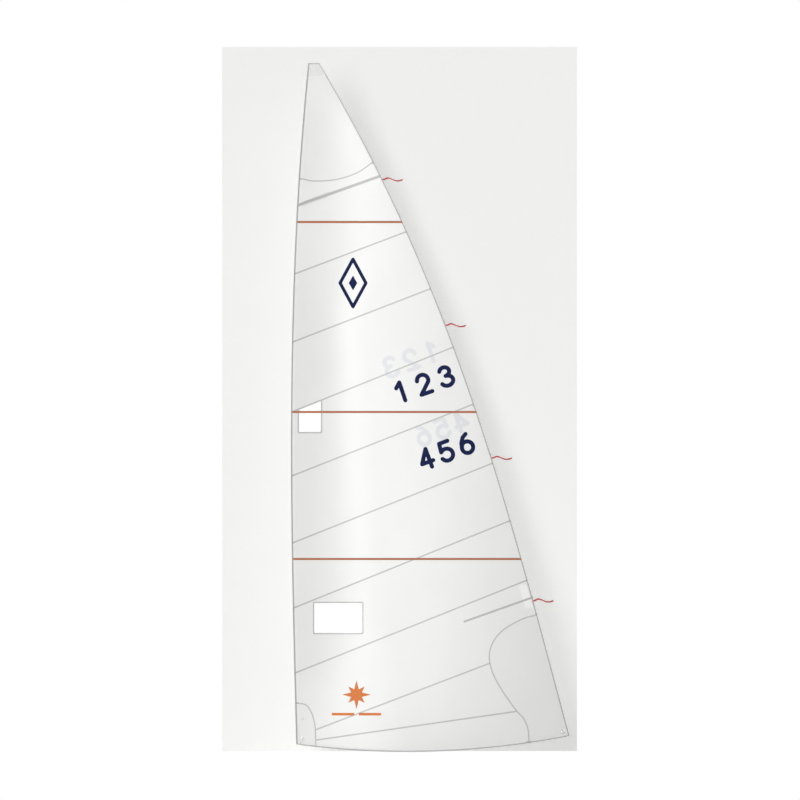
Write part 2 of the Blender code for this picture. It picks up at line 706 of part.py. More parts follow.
def headboard(cloth):
    """Two plates riveted through the head, with a hole for the halyard shackle."""
    keep = prism("board_outline", board_outline())
    port = TAPE_PORT - TAPE - GAP
    starboard = TAPE_STARBOARD + TAPE + GAP
    plates = []
    layers = (("port", (port - PLATE, port)), ("starboard", (starboard, starboard + PLATE)))
    for side, layer in layers:
        plate = ply(f"head_plate_{side}", layer, ALUMINIUM)
        boolean(plate, keep, "INTERSECT")
        plates.append(plate)
    at_hole = seat(HEAD_X + HALYARD_HOLE[0], HEAD_Z + HALYARD_HOLE[1])
    halyard = round_cutter("halyard_hole", at_hole, HALYARD_HOLE_RADIUS)
    halyard_in_cloth = round_cutter("halyard_hole_in_cloth", at_hole, HALYARD_HOLE_RADIUS + 2 * GAP)
    for plate in plates:
        boolean(plate, halyard, "DIFFERENCE")
    for piece in cloth:
        boolean(piece, halyard_in_cloth, "DIFFERENCE")
    for n, (right, up) in enumerate(RIVETS):
        frame = seat(HEAD_X + right, HEAD_Z + up)
        slope = abs(frame.col[2].y)
        port_face = (PLATE - port) * slope + GAP
        starboard_face = -(starboard + PLATE) * slope - GAP
        dome = ((0.0, RIVET_HEAD), (0.7 * RIVET_HEAD_RADIUS, 0.8 * RIVET_HEAD), (RIVET_HEAD_RADIUS, 0.0))
        dome += ((RIVET_RADIUS, 0.0),)
        profile = [(radius, port_face + rise) for radius, rise in dome]
        profile += [(radius, starboard_face - rise) for radius, rise in reversed(dome)]
        rivet(f"headboard_rivet_{n + 1}", profile, frame)
        hole = round_cutter(f"rivet_hole_{n + 1}", frame, RIVET_RADIUS + GAP)
        for piece in plates + cloth:
            boolean(piece, hole, "DIFFERENCE")


def rivet(name, profile, frame):
    """A rivet: an open profile from axis to axis, turned."""
    shape = bmesh.new()
    line = [shape.verts.new((radius, 0, height)) for radius, height in profile]
    for start, end in zip(line, line[1:]):
        shape.edges.new((start, end))
    mesh = bpy.data.meshes.new(name)
    shape.to_mesh(mesh)
    shape.free()
    item = add_object(name, mesh, ALUMINIUM)
    screw = item.modifiers.new("turn", "SCREW")
    screw.steps = screw.render_steps = 12
    screw.use_merge_vertices = True
    screw.merge_threshold = 0.00001
    item.matrix_world = frame


class BattenPath:
    """The line a batten follows on the starboard side: straight, or an arc where the belly is round."""

    def __init__(self, inner, leech, arched):
        self.start, self.end = self.lifted(*inner), self.lifted(*leech)
        self.arched = arched
        chord = self.end - self.start
        self.length, self.tangent = chord.length, chord.normalized()
        middle = self.start + chord / 2
        outward = -seat(middle.x, middle.z, SMOOTH).col[2].to_3d()
        self.width = self.tangent.cross(outward).normalized()
        self.normal = self.width.cross(self.tangent)
        if arched:
            self.fit_arc(middle)
        self.raise_clear()

    @staticmethod
    def lifted(x, z):
        """The place on the surface, with its Y."""
        return Vector((x, surface_y(x, z, SMOOTH), z))

    def fit_arc(self, middle):
        """The circle through both ends and the surface's middle, in the plane of its own normal."""
        for _ in range(4):
            middle = self.lifted(middle.x, middle.z)
            middle -= self.width * (middle - self.start).dot(self.width)
        half, depth = self.length / 2, (middle - self.start).dot(self.normal)
        self.radius = (half**2 + depth**2) / (2 * depth)
        self.centre = self.start + self.tangent * half + self.normal * (depth - self.radius)
        self.half_turn = math.asin(half / self.radius)
        self.length = 2 * self.half_turn * self.radius

    def at(self, distance):
        """The point, the normal to starboard and the tangent, so far from the inner end."""
        if not self.arched:
            return self.start + self.tangent * distance, self.normal, self.tangent
        turn = distance / self.radius - self.half_turn
        outward = self.normal * math.cos(turn) + self.tangent * math.sin(turn)
        along = self.tangent * math.cos(turn) - self.normal * math.sin(turn)
        return self.centre + outward * self.radius, outward, along

    def raise_clear(self):
        """Lifts the path until a strip as wide as the pocket clears the cloth and the tapes."""
        clear = TAPE_STARBOARD + TAPE + GAP
        need = 0.0
        steps = 40
        for n in range(steps + 1):
            point, normal, _ = self.at(self.length * n / steps)
            near_edge = min(n, steps - n) <= steps * 0.06
            for side in (-0.5, 0, 0.5):
                place = point + self.width * side * POCKET_WIDTH
                above = clear if near_edge or self.arched else CLOTH + GAP
                for tree in (SMOOTH, FACETED):
                    y = surface_y(place.x, place.z, tree)
                    if y is not None:
                        need = max(need, (y + above - place.y) * normal.y)
        if self.arched:
            chord_depth = (self.length / ARC_STEPS) ** 2 / (8 * self.radius)
            self.radius += need + chord_depth
        else:
            self.start = self.start + self.normal * need
            self.end = self.end + self.normal * need


def strip(name, path, reach, half_width, heights, look=None, group=None):
    """A bar along a path between two distances and two heights over it."""
    steps = ARC_STEPS if path.arched else 1
    sections = []
    corners = ((-1, heights[0]), (1, heights[0]), (1, heights[1]), (-1, heights[1]))
    for n in range(steps + 1):
        point, normal, _ = path.at(mix(*reach, n / steps))
        sections.append([point + path.width * a * half_width + normal * b for a, b in corners])
    item = loft(name, sections, look)
    if group:
        sail.objects.unlink(item)
        group.objects.link(item)
        make_helper(item)
    return item


def batten(number, path):
    """A batten with its end cap, in a pocket that is open at the leech."""
    name = f"batten_{number}"
    mouth = path.length
    floor = POCKET_WALL
    roof = floor + CAVITY_DEPTH
    half, cavity_half = POCKET_WIDTH / 2, CAVITY_WIDTH / 2
    pocket = strip(f"{name}_pocket", path, (0.0, mouth), half, (0.0, roof + POCKET_WALL), PATCH_CLOTH)
    cavity = strip(
        f"{name}_cavity", path, (POCKET_END, mouth + RUN_PAST), cavity_half, (floor, roof), group=cutters
    )
    boolean(pocket, cavity, "DIFFERENCE")
    cap_low = floor + BATTEN_STAND_OFF
    cap_high = cap_low + CAP_THICK
    middle = (cap_low + cap_high) / 2
    low, high = middle - BATTEN_THICK / 2, middle + BATTEN_THICK / 2
    cap_start = mouth - CAP_INSIDE
    cap_end = cap_start + CAP_LENGTH
    bar_end = cap_start + CAP_SOCKET - CAP_SLOT_CLEARANCE
    bar = strip(name, path, (POCKET_END + 2 * GAP, bar_end), BATTEN_WIDTH / 2, (low, high), FIBREGLASS)
    cap = strip(f"{name}_cap", path, (cap_start, cap_end), CAP_WIDTH / 2, (cap_low, cap_high), NYLON)
    spare = CAP_SLOT_CLEARANCE
    slot = strip(
        f"{name}_cap_slot", path, (cap_start - RUN_PAST / 4, cap_start + CAP_SOCKET),
        BATTEN_WIDTH / 2 + spare, (low - spare, high + spare), group=cutters,
    )
    boolean(cap, slot, "DIFFERENCE")
    origin = path.centre if path.arched else path.start
    for piece in (bar, cap):
        set_origin(piece, origin)


def set_origin(item, place):
    """Moves an object's origin to a place and leaves its shape where it is."""
    item.data.transform(Matrix.Translation(-place))
    item.location = place


def mouth_at(z):
    """Where a pocket of this height at the leech ends, as X and Z."""
    return leech_x(z) - POCKET_SHORT_OF_LEECH, z


def battens():
    """One batten across the whole head of the sail, and short ones down the leech."""
    from_luff, luff_height, leech_height = TOP_BATTEN
    inner = (luff_x(level(luff_height)) + from_luff, level(luff_height))
    paths = [BattenPath(inner, mouth_at(level(leech_height)), True)]
    for leech_height, length, slope in SHORT_BATTENS:
        x, z = mouth_at(level(leech_height))
        slope = math.radians(slope)
        inner = (x - length * math.cos(slope), z - length * math.sin(slope))
        paths.append(BattenPath(inner, (x, z), False))
    for n, path in enumerate(paths):
        batten(n + 1, path)
    return paths


def leech_frame(z):
    """A point of the leech, the direction along it upward, and the way out from it."""
    for low, high in zip(LEECH_EDGE, LEECH_EDGE[1:]):
        if low[0].z <= z <= high[0].z:
            share = (z - low[0].z) / (high[0].z - low[0].z)
            here, inside = (a.lerp(b, share) for a, b in zip(low, high))
            return here, (high[0] - low[0]).normalized(), (here - inside).normalized()
    raise ValueError("the height is beside the leech")


def telltales(paths):
    """A ribbon at each batten's end, streaming aft. Its origin is on the line it swings about."""
    fold = 2 * (LINE_RADIUS + LINE_CLEARANCE) + TAPE
    for n, path in enumerate(paths):
        here, up, out = leech_frame(path.end.z - TELLTALE_BELOW_BATTEN)
        root = here + out * (fold + TELLTALE_ROOT) + Vector((0, TAPE_MIDDLE, 0))
        hinge = here + out * (fold + TELLTALE_HINGE) + Vector((0, TAPE_MIDDLE, 0))
        sections = []
        for step in range(TELLTALE_STEPS + 1):
            share = step / TELLTALE_STEPS
            phase = 2 * math.pi * share
            ease = smoothstep(4 * share)
            centre = root + Vector((
                TELLTALE_LENGTH * share,
                TELLTALE_SIDE_WAVE * ease * math.sin(1.3 * phase),
                TELLTALE_WAVE * ease * math.sin(phase) * (1 - 0.25 * share),
            ))
            half = up * TELLTALE_WIDTH / 2
            thick = Vector((0, TELLTALE_THICK / 2, 0))
            low, high = centre - half, centre + half
            sections.append([low - thick, high - thick, high + thick, low + thick])
        set_origin(loft(f"telltale_{n + 1}", sections, RIBBON), hinge)


def cleat():
    """The cleat that locks the leech line, on the leech tape's starboard face."""
    low = LEECH_EDGE[CLEAT_ROW][0].z + CLEAT_ABOVE_ROW
    here, up, out = leech_frame(low)
    inside = here - out * LEECH_TAPE / 2
    frame = seat(inside.x, inside.z)
    normal = -frame.col[2].to_3d()
    across = normal.cross(up).normalized()
    up = across.cross(normal)
    face = (TAPE_STARBOARD + TAPE + GAP) * normal.y
    frame = Matrix((across, normal, up)).transposed().to_4x4()
    frame.translation = inside + normal * (face + CLEAT_HEIGHT / 2)
    shape = bmesh.new()
    size = Matrix.Diagonal((CLEAT_WIDTH, CLEAT_HEIGHT, CLEAT_LENGTH, 1))
    bmesh.ops.create_cube(shape, size=1.0, matrix=size)
    body = add_object("leech_cleat", mesh_of(shape, "leech_cleat"), NYLON)
    body.matrix_world = frame
    bevel = body.modifiers.new("round", "BEVEL")
    bevel.width = 0.0015
    bevel.segments = 2
    shape = bmesh.new()
    turn = Matrix.Rotation(math.radians(180), 4, "Z")
    radius = CLEAT_GROOVE
    depth = 2 * CLEAT_LENGTH
    bmesh.ops.create_cone(
        shape, cap_ends=True, segments=3, radius1=radius, radius2=radius, depth=depth, matrix=turn
    )
    groove = make_helper(add_object("cleat_groove", mesh_of(shape, "cleat_groove"), None, cutters))
    groove.matrix_world = frame @ Matrix.Translation((0, CLEAT_HEIGHT / 2 + 0.001, 0))
    boolean(body, groove, "DIFFERENCE")


def shade(item):
    """Smooth shading with the sharp edges kept."""
    item.data.shade_smooth()
    item.data.set_sharp_from_angle(angle=math.radians(30))


def build():
    between = inside_tapes()
    cloth = panels()
    patch_of = patches(between)
    windows({"upper_window": cloth[3], "lower_window": cloth[6]})
    stripes()
    edge_pieces()
    rings({
        "clew": patch_of["clew"] + [cloth[9]],
        "tack": patch_of["tack"] + [cloth[8]],
        "cunningham": patch_of["tack"] + [cloth[7]],
    })
    headboard([cloth[0], *patch_of["head"]])
    telltales(battens())
    cleat()
    for item in sail.objects:
        shade(item)


build()
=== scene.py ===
"""A keelboat's mainsail as it looks: woven cloth, stitching, film, rope and metal over its model.

X runs aft, Y to starboard and Z up, in metres. The surface is the formula that the model was cut
from. Each cloth piece is drawn finely on it, in the ply where the model has it.
"""
import json
from math import asin, ceil, cos, degrees, dist, floor, hypot, pi, radians, sin

import bmesh
import bpy
import numpy as np
from mathutils import Matrix, Vector


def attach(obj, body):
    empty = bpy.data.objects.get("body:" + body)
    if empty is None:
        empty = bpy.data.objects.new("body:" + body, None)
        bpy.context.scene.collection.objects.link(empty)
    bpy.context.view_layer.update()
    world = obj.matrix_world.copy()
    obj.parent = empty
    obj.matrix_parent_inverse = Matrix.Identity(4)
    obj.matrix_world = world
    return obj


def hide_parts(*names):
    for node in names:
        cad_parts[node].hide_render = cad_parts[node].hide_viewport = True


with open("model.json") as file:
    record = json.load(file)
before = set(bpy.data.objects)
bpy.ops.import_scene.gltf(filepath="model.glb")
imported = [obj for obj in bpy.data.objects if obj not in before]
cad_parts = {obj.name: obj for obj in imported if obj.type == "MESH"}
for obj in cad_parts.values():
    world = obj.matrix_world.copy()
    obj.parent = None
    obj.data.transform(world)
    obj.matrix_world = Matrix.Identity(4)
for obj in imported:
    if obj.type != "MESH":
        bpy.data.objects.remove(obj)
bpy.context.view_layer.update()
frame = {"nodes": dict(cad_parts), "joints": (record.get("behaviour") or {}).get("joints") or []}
JOINTS = {joint["name"]: joint for joint in frame["joints"]}

# The sail's sizes, as in the model.
HEAD_X, HEAD_Z, HEAD_WIDTH = 0.160, 9.091, 0.1335
CLEW_X, CLEW_Z = 3.6325, 0.1134
LUFF_ROUND, LUFF_SKEW = 0.150, 0.30
ROACH, ROACH_SKEW = 0.375, 0.37
FOOT_ROUND = 0.148
CAMBER, FOOT_CAMBER, HEAD_CAMBER = 0.105, 0.070, 0.050
FULL_ABOVE, FLATTENS_ABOVE, FLAT_ABOVE = 1.8, 4.8, 8.0
FLAT_FROM = 0.50
ROUND_EXIT_FROM, ROUND_EXIT_TO = 5.7, 7.0
TWIST, TWIST_POWER = 0.36, 1.8
BOARD_Z = HEAD_Z - 0.191
SEAMS = (
    (6.277, 6.843), (5.369, 6.083), (4.436, 5.303), (3.582, 4.543), (2.688, 3.755),
    (1.821, 2.988), (0.954, 2.194), (0.101, 1.362), (0.023, 0.527),
)
LAP = 0.020

# Plies, as distances from the surface along Y, with port negative.
CLOTH, GAP = 0.0005, 0.00035
INNER_PLY = (0.0, CLOTH)
OUTER_PLY = (-GAP - CLOTH, -GAP)
PORT_PATCH = (OUTER_PLY[0] - GAP - CLOTH, OUTER_PLY[0] - GAP)
STARBOARD_PATCH = (CLOTH + GAP, CLOTH + GAP + CLOTH)
WINDOW_PLY = (CLOTH + GAP, CLOTH + GAP + 0.0003)
TAPE, STRIPE = 0.0004, 0.0002
TAPE_PORT, TAPE_STARBOARD = -0.0016, 0.0013
MARK_PORT = (OUTER_PLY[0] - GAP - 0.00015, OUTER_PLY[0] - GAP)
MARK_STARBOARD = (CLOTH + GAP, CLOTH + GAP + 0.00015)
LUFF_TAPE, LEECH_TAPE, FOOT_TAPE = 0.045, 0.030, 0.030
ROPE_RADIUS, ROPE_CLEARANCE = 0.0042, 0.0007
LINE_RADIUS, LINE_CLEARANCE = 0.0011, 0.0004

HEAD_PATCH = (
    (-0.26, -1.526), (-0.107, -1.547), (0.040, -1.581), (0.280, -1.574), (0.480, -1.534),
    (0.654, -1.467), (0.760, -1.400), (0.8605, -1.320), (1.04, -1.161),
)
TACK_PATCH = (
    (-0.10, 0.546), (0.053, 0.554), (0.141, 0.522), (0.205, 0.420),
    (0.245, 0.273), (0.2535, 0.193), (0.259, -0.020), (0.259, -0.20),
)
CLEW_PATCH = (
    (-0.240, 1.647), (-0.4345, 1.6206), (-0.5905, 1.5836), (-0.7775, 1.4936), (-0.9155, 1.3966),
    (-1.0215, 1.2636), (-1.0715, 1.1206), (-1.0675, 0.9696), (-1.0135, 0.8006), (-0.9155, 0.6226),
    (-0.8085, 0.4626), (-0.7015, 0.3206), (-0.6135, 0.2226), (-0.5605, 0.0896), (-0.5455, -0.0894),
    (-0.543, -0.313),
)
LOWER_WINDOW = (0.2295, 0.8700, 1.4874, 1.8876)
UPPER_WINDOW = (0.0267, 0.3202, 4.1690)
UPPER_WINDOW_SEAM = 2
WINDOW_HEM = 0.015
STRIPE_HEIGHTS, STRIPE_WIDTH = (6.970, 4.436, 2.475), 0.028
# X and Z out from the tack or the clew, the hole's radius and the flange's.
RINGS = {
    "clew": (-0.0875, 0.0616, 0.0150, 0.0310),
    "tack": (0.0760, 0.0775, 0.0110, 0.0230),
    "cunningham": (0.0760, 0.3450, 0.0080, 0.0180),
}
HALYARD_HOLE = (0.076, -0.041, 0.008)
# How much wider the cloth is cut than a ring's hole, for its barrel, and than the halyard's.
BARREL_SPARE, HALYARD_SPARE = 0.0019, 0.0007
WASHER_ROUND = 0.0005
# Bands on port over the top and the bottom batten, where the picture shows them: from, to, width.
BATTEN_BANDS = (
    ((-0.030, 7.178), (1.125, 7.589), 0.036), ((2.233, 1.640), (3.139, 1.962), 0.026),
)
TELLTALE_LENGTH, TELLTALE_WIDTH = 0.270, 0.024
TELLTALE_WAVE, TELLTALE_SIDE_WAVE = 0.022, 0.006
TELLTALE_THICK, TELLTALE_ROOT = 0.0003, 0.0013
BAND_THICK = 0.0003

# How finely the cloth is drawn.
PANEL_STEP, PATCH_STEP, MARK_STEP = 0.024, 0.012, 0.007


def smoothstep(value):
    held = np.clip(value, 0.0, 1.0)
    return held * held * (3 - 2 * held)


def mix(first, second, share):
    return first + (second - first) * share


def bow(share, depth, skew=0.0):
    return 4 * depth * share * (1 - share) * (1 + skew * (2 * share - 1))


def luff_x(z):
    share = z / HEAD_Z
    return HEAD_X * share - bow(share, LUFF_ROUND, LUFF_SKEW)


def leech_x(z):
    share = (z - CLEW_Z) / (HEAD_Z - CLEW_Z)
    return mix(CLEW_X, HEAD_X + HEAD_WIDTH, share) + bow(share, ROACH, ROACH_SKEW)


def foot_z(x):
    share = x / CLEW_X
    return CLEW_Z * share - bow(share, FOOT_ROUND)


def camber(z):
    low = mix(FOOT_CAMBER, CAMBER, smoothstep(z / FULL_ABOVE))
    high = mix(low, HEAD_CAMBER, smoothstep((z - FLATTENS_ABOVE) / (FLAT_ABOVE - FLATTENS_ABOVE)))
    return high * (1 - smoothstep((z - FLAT_ABOVE) / (BOARD_Z - FLAT_ABOVE)))


def twist(z):
    return TWIST * np.clip(z / BOARD_Z, 0.0, 1.0) ** TWIST_POWER


def surface_y(x, z):
    x, z = np.asarray(x, float), np.asarray(z, float)
    luff = luff_x(z)
    chord = leech_x(z) - luff
    share = (x - luff) / chord
    flat_from = mix(FLAT_FROM, 1.0, smoothstep((z - ROUND_EXIT_FROM) / (ROUND_EXIT_TO - ROUND_EXIT_FROM)))
    exit_slope = 4 / (2 - flat_from) ** 2
    round_part = exit_slope * share * ((2 - flat_from) * flat_from - share) / flat_from**2
    depth = camber(z) * np.where(share > flat_from, exit_slope * (1 - share), round_part)
    return chord * (depth + twist(z) * share)


def on_surface(x, z):
    return Vector((x, float(surface_y(x, z)), z))


def seat(x, z):
    """A frame on the surface, with its Z axis square to it, to port."""
    reach = 0.004
    here = on_surface(x, z)
    along = (on_surface(x + reach, z) - here).normalized()
    outward = along.cross(on_surface(x, z + reach) - here).normalized()
    if outward.y > 0:
        outward.negate()
    made = Matrix((along, outward.cross(along), outward)).transposed().to_4x4()
    made.translation = here
    return made


# Fields: each takes arrays of X and Z and is negative inside its shape.
def nearest(x, z, path):
    """The distance to a path, and how far along the path its nearest place is."""
    best, along, run = np.full(np.shape(x), 99.0), np.zeros(np.shape(x)), 0.0
    for (ax, az), (bx, bz) in zip(path, path[1:]):
        length = max(hypot(bx - ax, bz - az), 1e-9)
        ux, uz = (bx - ax) / length, (bz - az) / length
        reached = np.clip((x - ax) * ux + (z - az) * uz, 0, length)
        away = np.hypot(x - ax - reached * ux, z - az - reached * uz)
        along = np.where(away < best, run + reached, along)
        best = np.minimum(best, away)
        run += length
    return best, along


def inside_outline(x, z, outline):
    odd = np.zeros(np.shape(x), bool)
    for (ax, az), (bx, bz) in zip(outline, outline[1:] + outline[:1]):
        if az != bz:
            odd ^= ((az > z) != (bz > z)) & (x < ax + (z - az) * (bx - ax) / (bz - az))
    return odd


def beside(path, inset):
    """How far along a path a place lies, and how far from it, less an inset."""
    def sewn(x, z):
        away, along = nearest(x, z, path)
        return along, away - inset

    return sewn


def outline_field(outline):
    closed = outline + outline[:1]
    return lambda x, z: nearest(x, z, closed)[0] * np.where(inside_outline(x, z, outline), -1, 1)


def stroke_field(paths, width):
    return lambda x, z: np.min([nearest(x, z, path)[0] for path in paths], axis=0) - width / 2


def whole_sail(x, z):
    edges = (luff_x(z) - x, x - leech_x(z), foot_z(x) - z, z - HEAD_Z)
    return np.max(edges, axis=0)


def luff_inset(z):
    """How far aft of the luff its tape ends, along X."""
    rise = surface_y(luff_x(z) + LUFF_TAPE, z) / LUFF_TAPE
    return (LUFF_TAPE + 3 * GAP) / np.sqrt(1 + rise**2)


def between_tapes(x, z):
    leech_inset, foot_inset = LEECH_TAPE + 3 * GAP, FOOT_TAPE + 3 * GAP
    edges = (
        luff_x(z) + luff_inset(z) - x, x - leech_x(z) + leech_inset,
        foot_z(x) + foot_inset - z, z - HEAD_Z,
    )
    return np.max(edges, axis=0)


def seam_line(seam):
    """A seam's height and slope, as functions of X."""
    start, end = luff_x(seam[0]), leech_x(seam[1])
    slope = (seam[1] - seam[0]) / (end - start)
    return (lambda x: seam[0] + slope * (x - start)), slope


def window_outline(upper, hem=0.0):
    if not upper:
        left, right, low, high = LOWER_WINDOW
        tops = (high, high)
    else:
        left, right, low = UPPER_WINDOW
        line = seam_line(SEAMS[UPPER_WINDOW_SEAM])[0]
        tops = (line(right) - LAP / 2, line(left) - LAP / 2)
    return [
        (left - hem, low - hem), (right + hem, low - hem),
        (right + hem, tops[0] + hem), (left - hem, tops[1] + hem),
    ]


def window_run(outline):
    """How far along a window's edge a place lies."""
    (left, low), (right, _), (_, high), (_, start) = outline

    def run(x, z):
        aside = np.maximum(left - x, x - right)
        top = mix(start, high, (x - left) / (right - left))
        return -np.minimum(aside, np.maximum(low - z, z - top))

    return run


def cut_cells(field, box, step):
    """Points and faces of a grid, cut where a field is zero."""
    left, right, low, high = box
    xs = np.arange(floor(left / step), ceil(right / step) + 1) * step
    zs = np.arange(floor(low / step), ceil(high / step) + 1) * step
    grid_x, grid_z = np.meshgrid(xs, zs)
    values = field(grid_x, grid_z)
    values = np.where(np.abs(values) < step * 0.02, -step * 0.02, values)
    kept = values < 0
    some = kept[:-1, :-1] | kept[1:, :-1] | kept[:-1, 1:] | kept[1:, 1:]
    points, places, faces = [], {}, []

    def place(key, x, z):
        if key not in places:
            places[key] = len(points)
            points.append((x, z))
        return places[key]

    for row, column in zip(*np.nonzero(some)):
        corners = ((row, column), (row, column + 1), (row + 1, column + 1), (row + 1, column))
        face = []
        for a, b in zip(corners, corners[1:] + corners[:1]):
            if kept[a]:
                face.append(place(a, xs[a[1]], zs[a[0]]))
            if kept[a] != kept[b]:
                t = values[a] / (values[a] - values[b])
                key = (min(a, b), max(a, b))
                face.append(place(key, mix(xs[a[1]], xs[b[1]], t), mix(zs[a[0]], zs[b[0]], t)))
        if len(face) > 2:
            faces.append(face)
    return points, faces


def link(name, data, look=None):
    """Puts a mesh, a lamp or a lens in the scene as an object."""
    item = bpy.data.objects.new(name, data)
    bpy.context.scene.collection.objects.link(item)
    if look:
        data.materials.append(look)
    return item


def finished(shape, name, look, degrees=35):
    """A bmesh's object, smooth but for edges sharper than an angle."""
    mesh = bpy.data.meshes.new(name)
    shape.to_mesh(mesh)
    shape.free()
    mesh.shade_smooth()
    mesh.set_sharp_from_angle(angle=radians(degrees))
    return link(name, mesh, look)


def skin(shape, rows, closed=False):
    """Adds the faces between rows of vertices."""
    for low, high in zip(rows, rows[1:]):
        for n in range(len(low) - (not closed)):
            m = (n + 1) % len(low)
            shape.faces.new((low[n], low[m], high[m], high[n]))


def thicken(item, thickness, offset):
    solid = item.modifiers.new("ply", "SOLIDIFY")
    solid.thickness, solid.offset = thickness, offset


def write_attribute(item, name, values):
    """Stores a number, or three, at each vertex."""
    values = np.asarray(values, np.float32)
    single = values.ndim == 1
    made = item.data.attributes.new(name, "FLOAT" if single else "FLOAT_VECTOR", "POINT")
    made.data.foreach_set("value" if single else "vector", values.ravel())


def write_sewn(item, along, across):
    """Stores how far along a seam and across it each vertex lies."""
    write_attribute(item, "sewn", np.stack([along, across, np.zeros(len(along))], axis=1))


def assign(piece, slot, *nodes, body="sail"):
    """Puts a piece on its body, in place of the model's nodes. The slot is not used."""
    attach(piece, body)
    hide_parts(*nodes)


def spots(item):
    """The X, Y and Z of an object's vertices."""
    found = np.empty(len(item.data.vertices) * 3, np.float32)
    item.data.vertices.foreach_get("co", found)
    return found.reshape(-1, 3).T.astype(float)


def flat_piece(name, field, box, step, layer, look, sewn=None, under=None):
    """A ply of the sail, cut to a field's shape.

    sewn gives how far along a seam and across it a place lies. under gives what shows through it,
    and takes whether the place is on the starboard side.
    """
    points, faces = cut_cells(field, box, step)
    xs, zs = np.array(points).T
    shape = bmesh.new()
    verts = [shape.verts.new((x, y + layer[0], z)) for x, y, z in zip(xs, surface_y(xs, zs), zs)]
    for face in faces:
        shape.faces.new([verts[n] for n in face])
    made = bmesh.ops.extrude_face_region(shape, geom=shape.faces[:])
    for part in made["geom"]:
        if isinstance(part, bmesh.types.BMVert):
            part.co.y += layer[1] - layer[0]
    bmesh.ops.recalc_face_normals(shape, faces=shape.faces[:])
    item = finished(shape, name, look)
    x, y, z = spots(item)
    if sewn:
        write_sewn(item, *sewn(x, z))
    if under:
        write_attribute(item, "under", under(x, z, y - surface_y(x, z) > sum(layer) / 2))
    return item


def declare(item, slope=0.0):
    """Works out the length and the width of the rectangle that a cloth piece is cut from, whose length rises
    aft by a slope, and keeps neither.
    """
    x, _, z = spots(item)
    length, width = (np.ptp(places) / hypot(1, slope) for places in (x + z * slope, z - x * slope))


# Marks: numerals, a diamond and a star, all plain.
def arc(cx, cy, rx, ry, start, end, count=10):
    angles = [radians(mix(start, end, n / count)) for n in range(count + 1)]
    return [(cx + rx * cos(a), cy + ry * sin(a)) for a in angles]


# Each figure's strokes, in a box 1 wide and 1 high.
FIGURES = {
    "1": [[(0.16, 0.76), (0.58, 1.0), (0.58, 0.0)]],
    "2": [arc(0.5, 0.70, 0.5, 0.30, 170, -28, 14) + [(0.0, 0.0), (1.0, 0.0)]],
    "3": [arc(0.46, 0.765, 0.44, 0.235, 160, -90, 14), arc(0.46, 0.265, 0.54, 0.265, 90, -160, 14)],
    "4": [[(0.74, 0.0), (0.74, 1.0), (0.0, 0.30), (1.04, 0.30)]],
    "5": [[(0.92, 1.0), (0.14, 1.0), (0.06, 0.56)] + arc(0.46, 0.32, 0.54, 0.32, 138, -155, 16)],
    "6": [arc(0.5, 0.31, 0.5, 0.31, 0, 360, 22), [(0.03, 0.36), (0.12, 0.62), (0.40, 0.88), (0.74, 1.0)]],
}
FIGURE_WIDTH, FIGURE_HEIGHT, STROKE = 0.152, 0.252, 0.056
# Rows of figures: text, the row's middle, its spacing, its tilt in degrees, and 1 or -1 for its reading way.
PORT_ROWS = (("123", (1.692, 4.809), 0.316, 19.0, 1), ("456", (1.990, 3.912), 0.285, 20.5, 1))
STARBOARD_ROWS = (("123", (1.521, 5.135), 0.290, 20.0, -1), ("456", (1.934, 4.215), 0.268, 20.0, -1))


def row_paths(text, middle, spacing, tilt, way):
    """The strokes of a row of figures, as paths in the XZ plane."""
    right = Vector((cos(radians(tilt)), sin(radians(tilt))))
    up = Vector((-right.y, right.x))
    made = []
    for n, figure in enumerate(text):
        centre = Vector(middle) + right * spacing * way * (n - (len(text) - 1) / 2)
        for stroke in FIGURES[figure]:
            made.append([
                tuple(centre + right * way * (a - 0.5) * FIGURE_WIDTH + up * (b - 0.5) * FIGURE_HEIGHT)
                for a, b in stroke
            ])
    return made


DIAMOND = ((0.747, 6.4735), (0.919, 6.1565), (0.747, 5.8395), (0.575, 6.1565), (0.747, 6.4735))
DIAMOND_STROKE = 0.044
GEM = [(0.747, 6.2565), (0.804, 6.1565), (0.747, 6.0565), (0.690, 6.1565)]
STAR_MIDDLE, STAR_LONG, STAR_SHORT, STAR_WAIST = (0.794, 0.665), 0.195, 0.155, 0.078
# Two plain bars under the star: how far from its middle they start and end, and their height.
BARS, BAR_Z, BAR_HEIGHT = (0.03, 0.33), 0.405, 0.034
PORT_PATHS, STARBOARD_PATHS = (
    [path for row in rows for path in row_paths(*row)] for rows in (PORT_ROWS, STARBOARD_ROWS)
)


def star_outline():
    points = []
    for n in range(16):
        turn = radians(90 - 22.5 * n)
        radius = STAR_WAIST if n % 2 else (STAR_SHORT if n % 4 else STAR_LONG)
        points.append((STAR_MIDDLE[0] + radius * cos(turn), STAR_MIDDLE[1] + radius * sin(turn)))
    return points


def path_box(paths, spare):
    xs, zs = zip(*[point for path in paths for point in path])
    return min(xs) - spare, max(xs) + spare, min(zs) - spare, max(zs) + spare


# Materials. Each is a Principled shader with its pattern built from nodes.
class Value:
    """What a shader node gives. It adds and multiplies as a number does."""

    def __init__(self, graph, socket):
        self.graph, self.socket = graph, socket

    def __add__(self, other):
        return self.graph.math("ADD", self, other)

    def __sub__(self, other):
        return self.graph.math("SUBTRACT", self, other)

    def __mul__(self, other):
        return self.graph.math("MULTIPLY", self, other)

    def __abs__(self):
        return self.graph.math("ABSOLUTE", self)


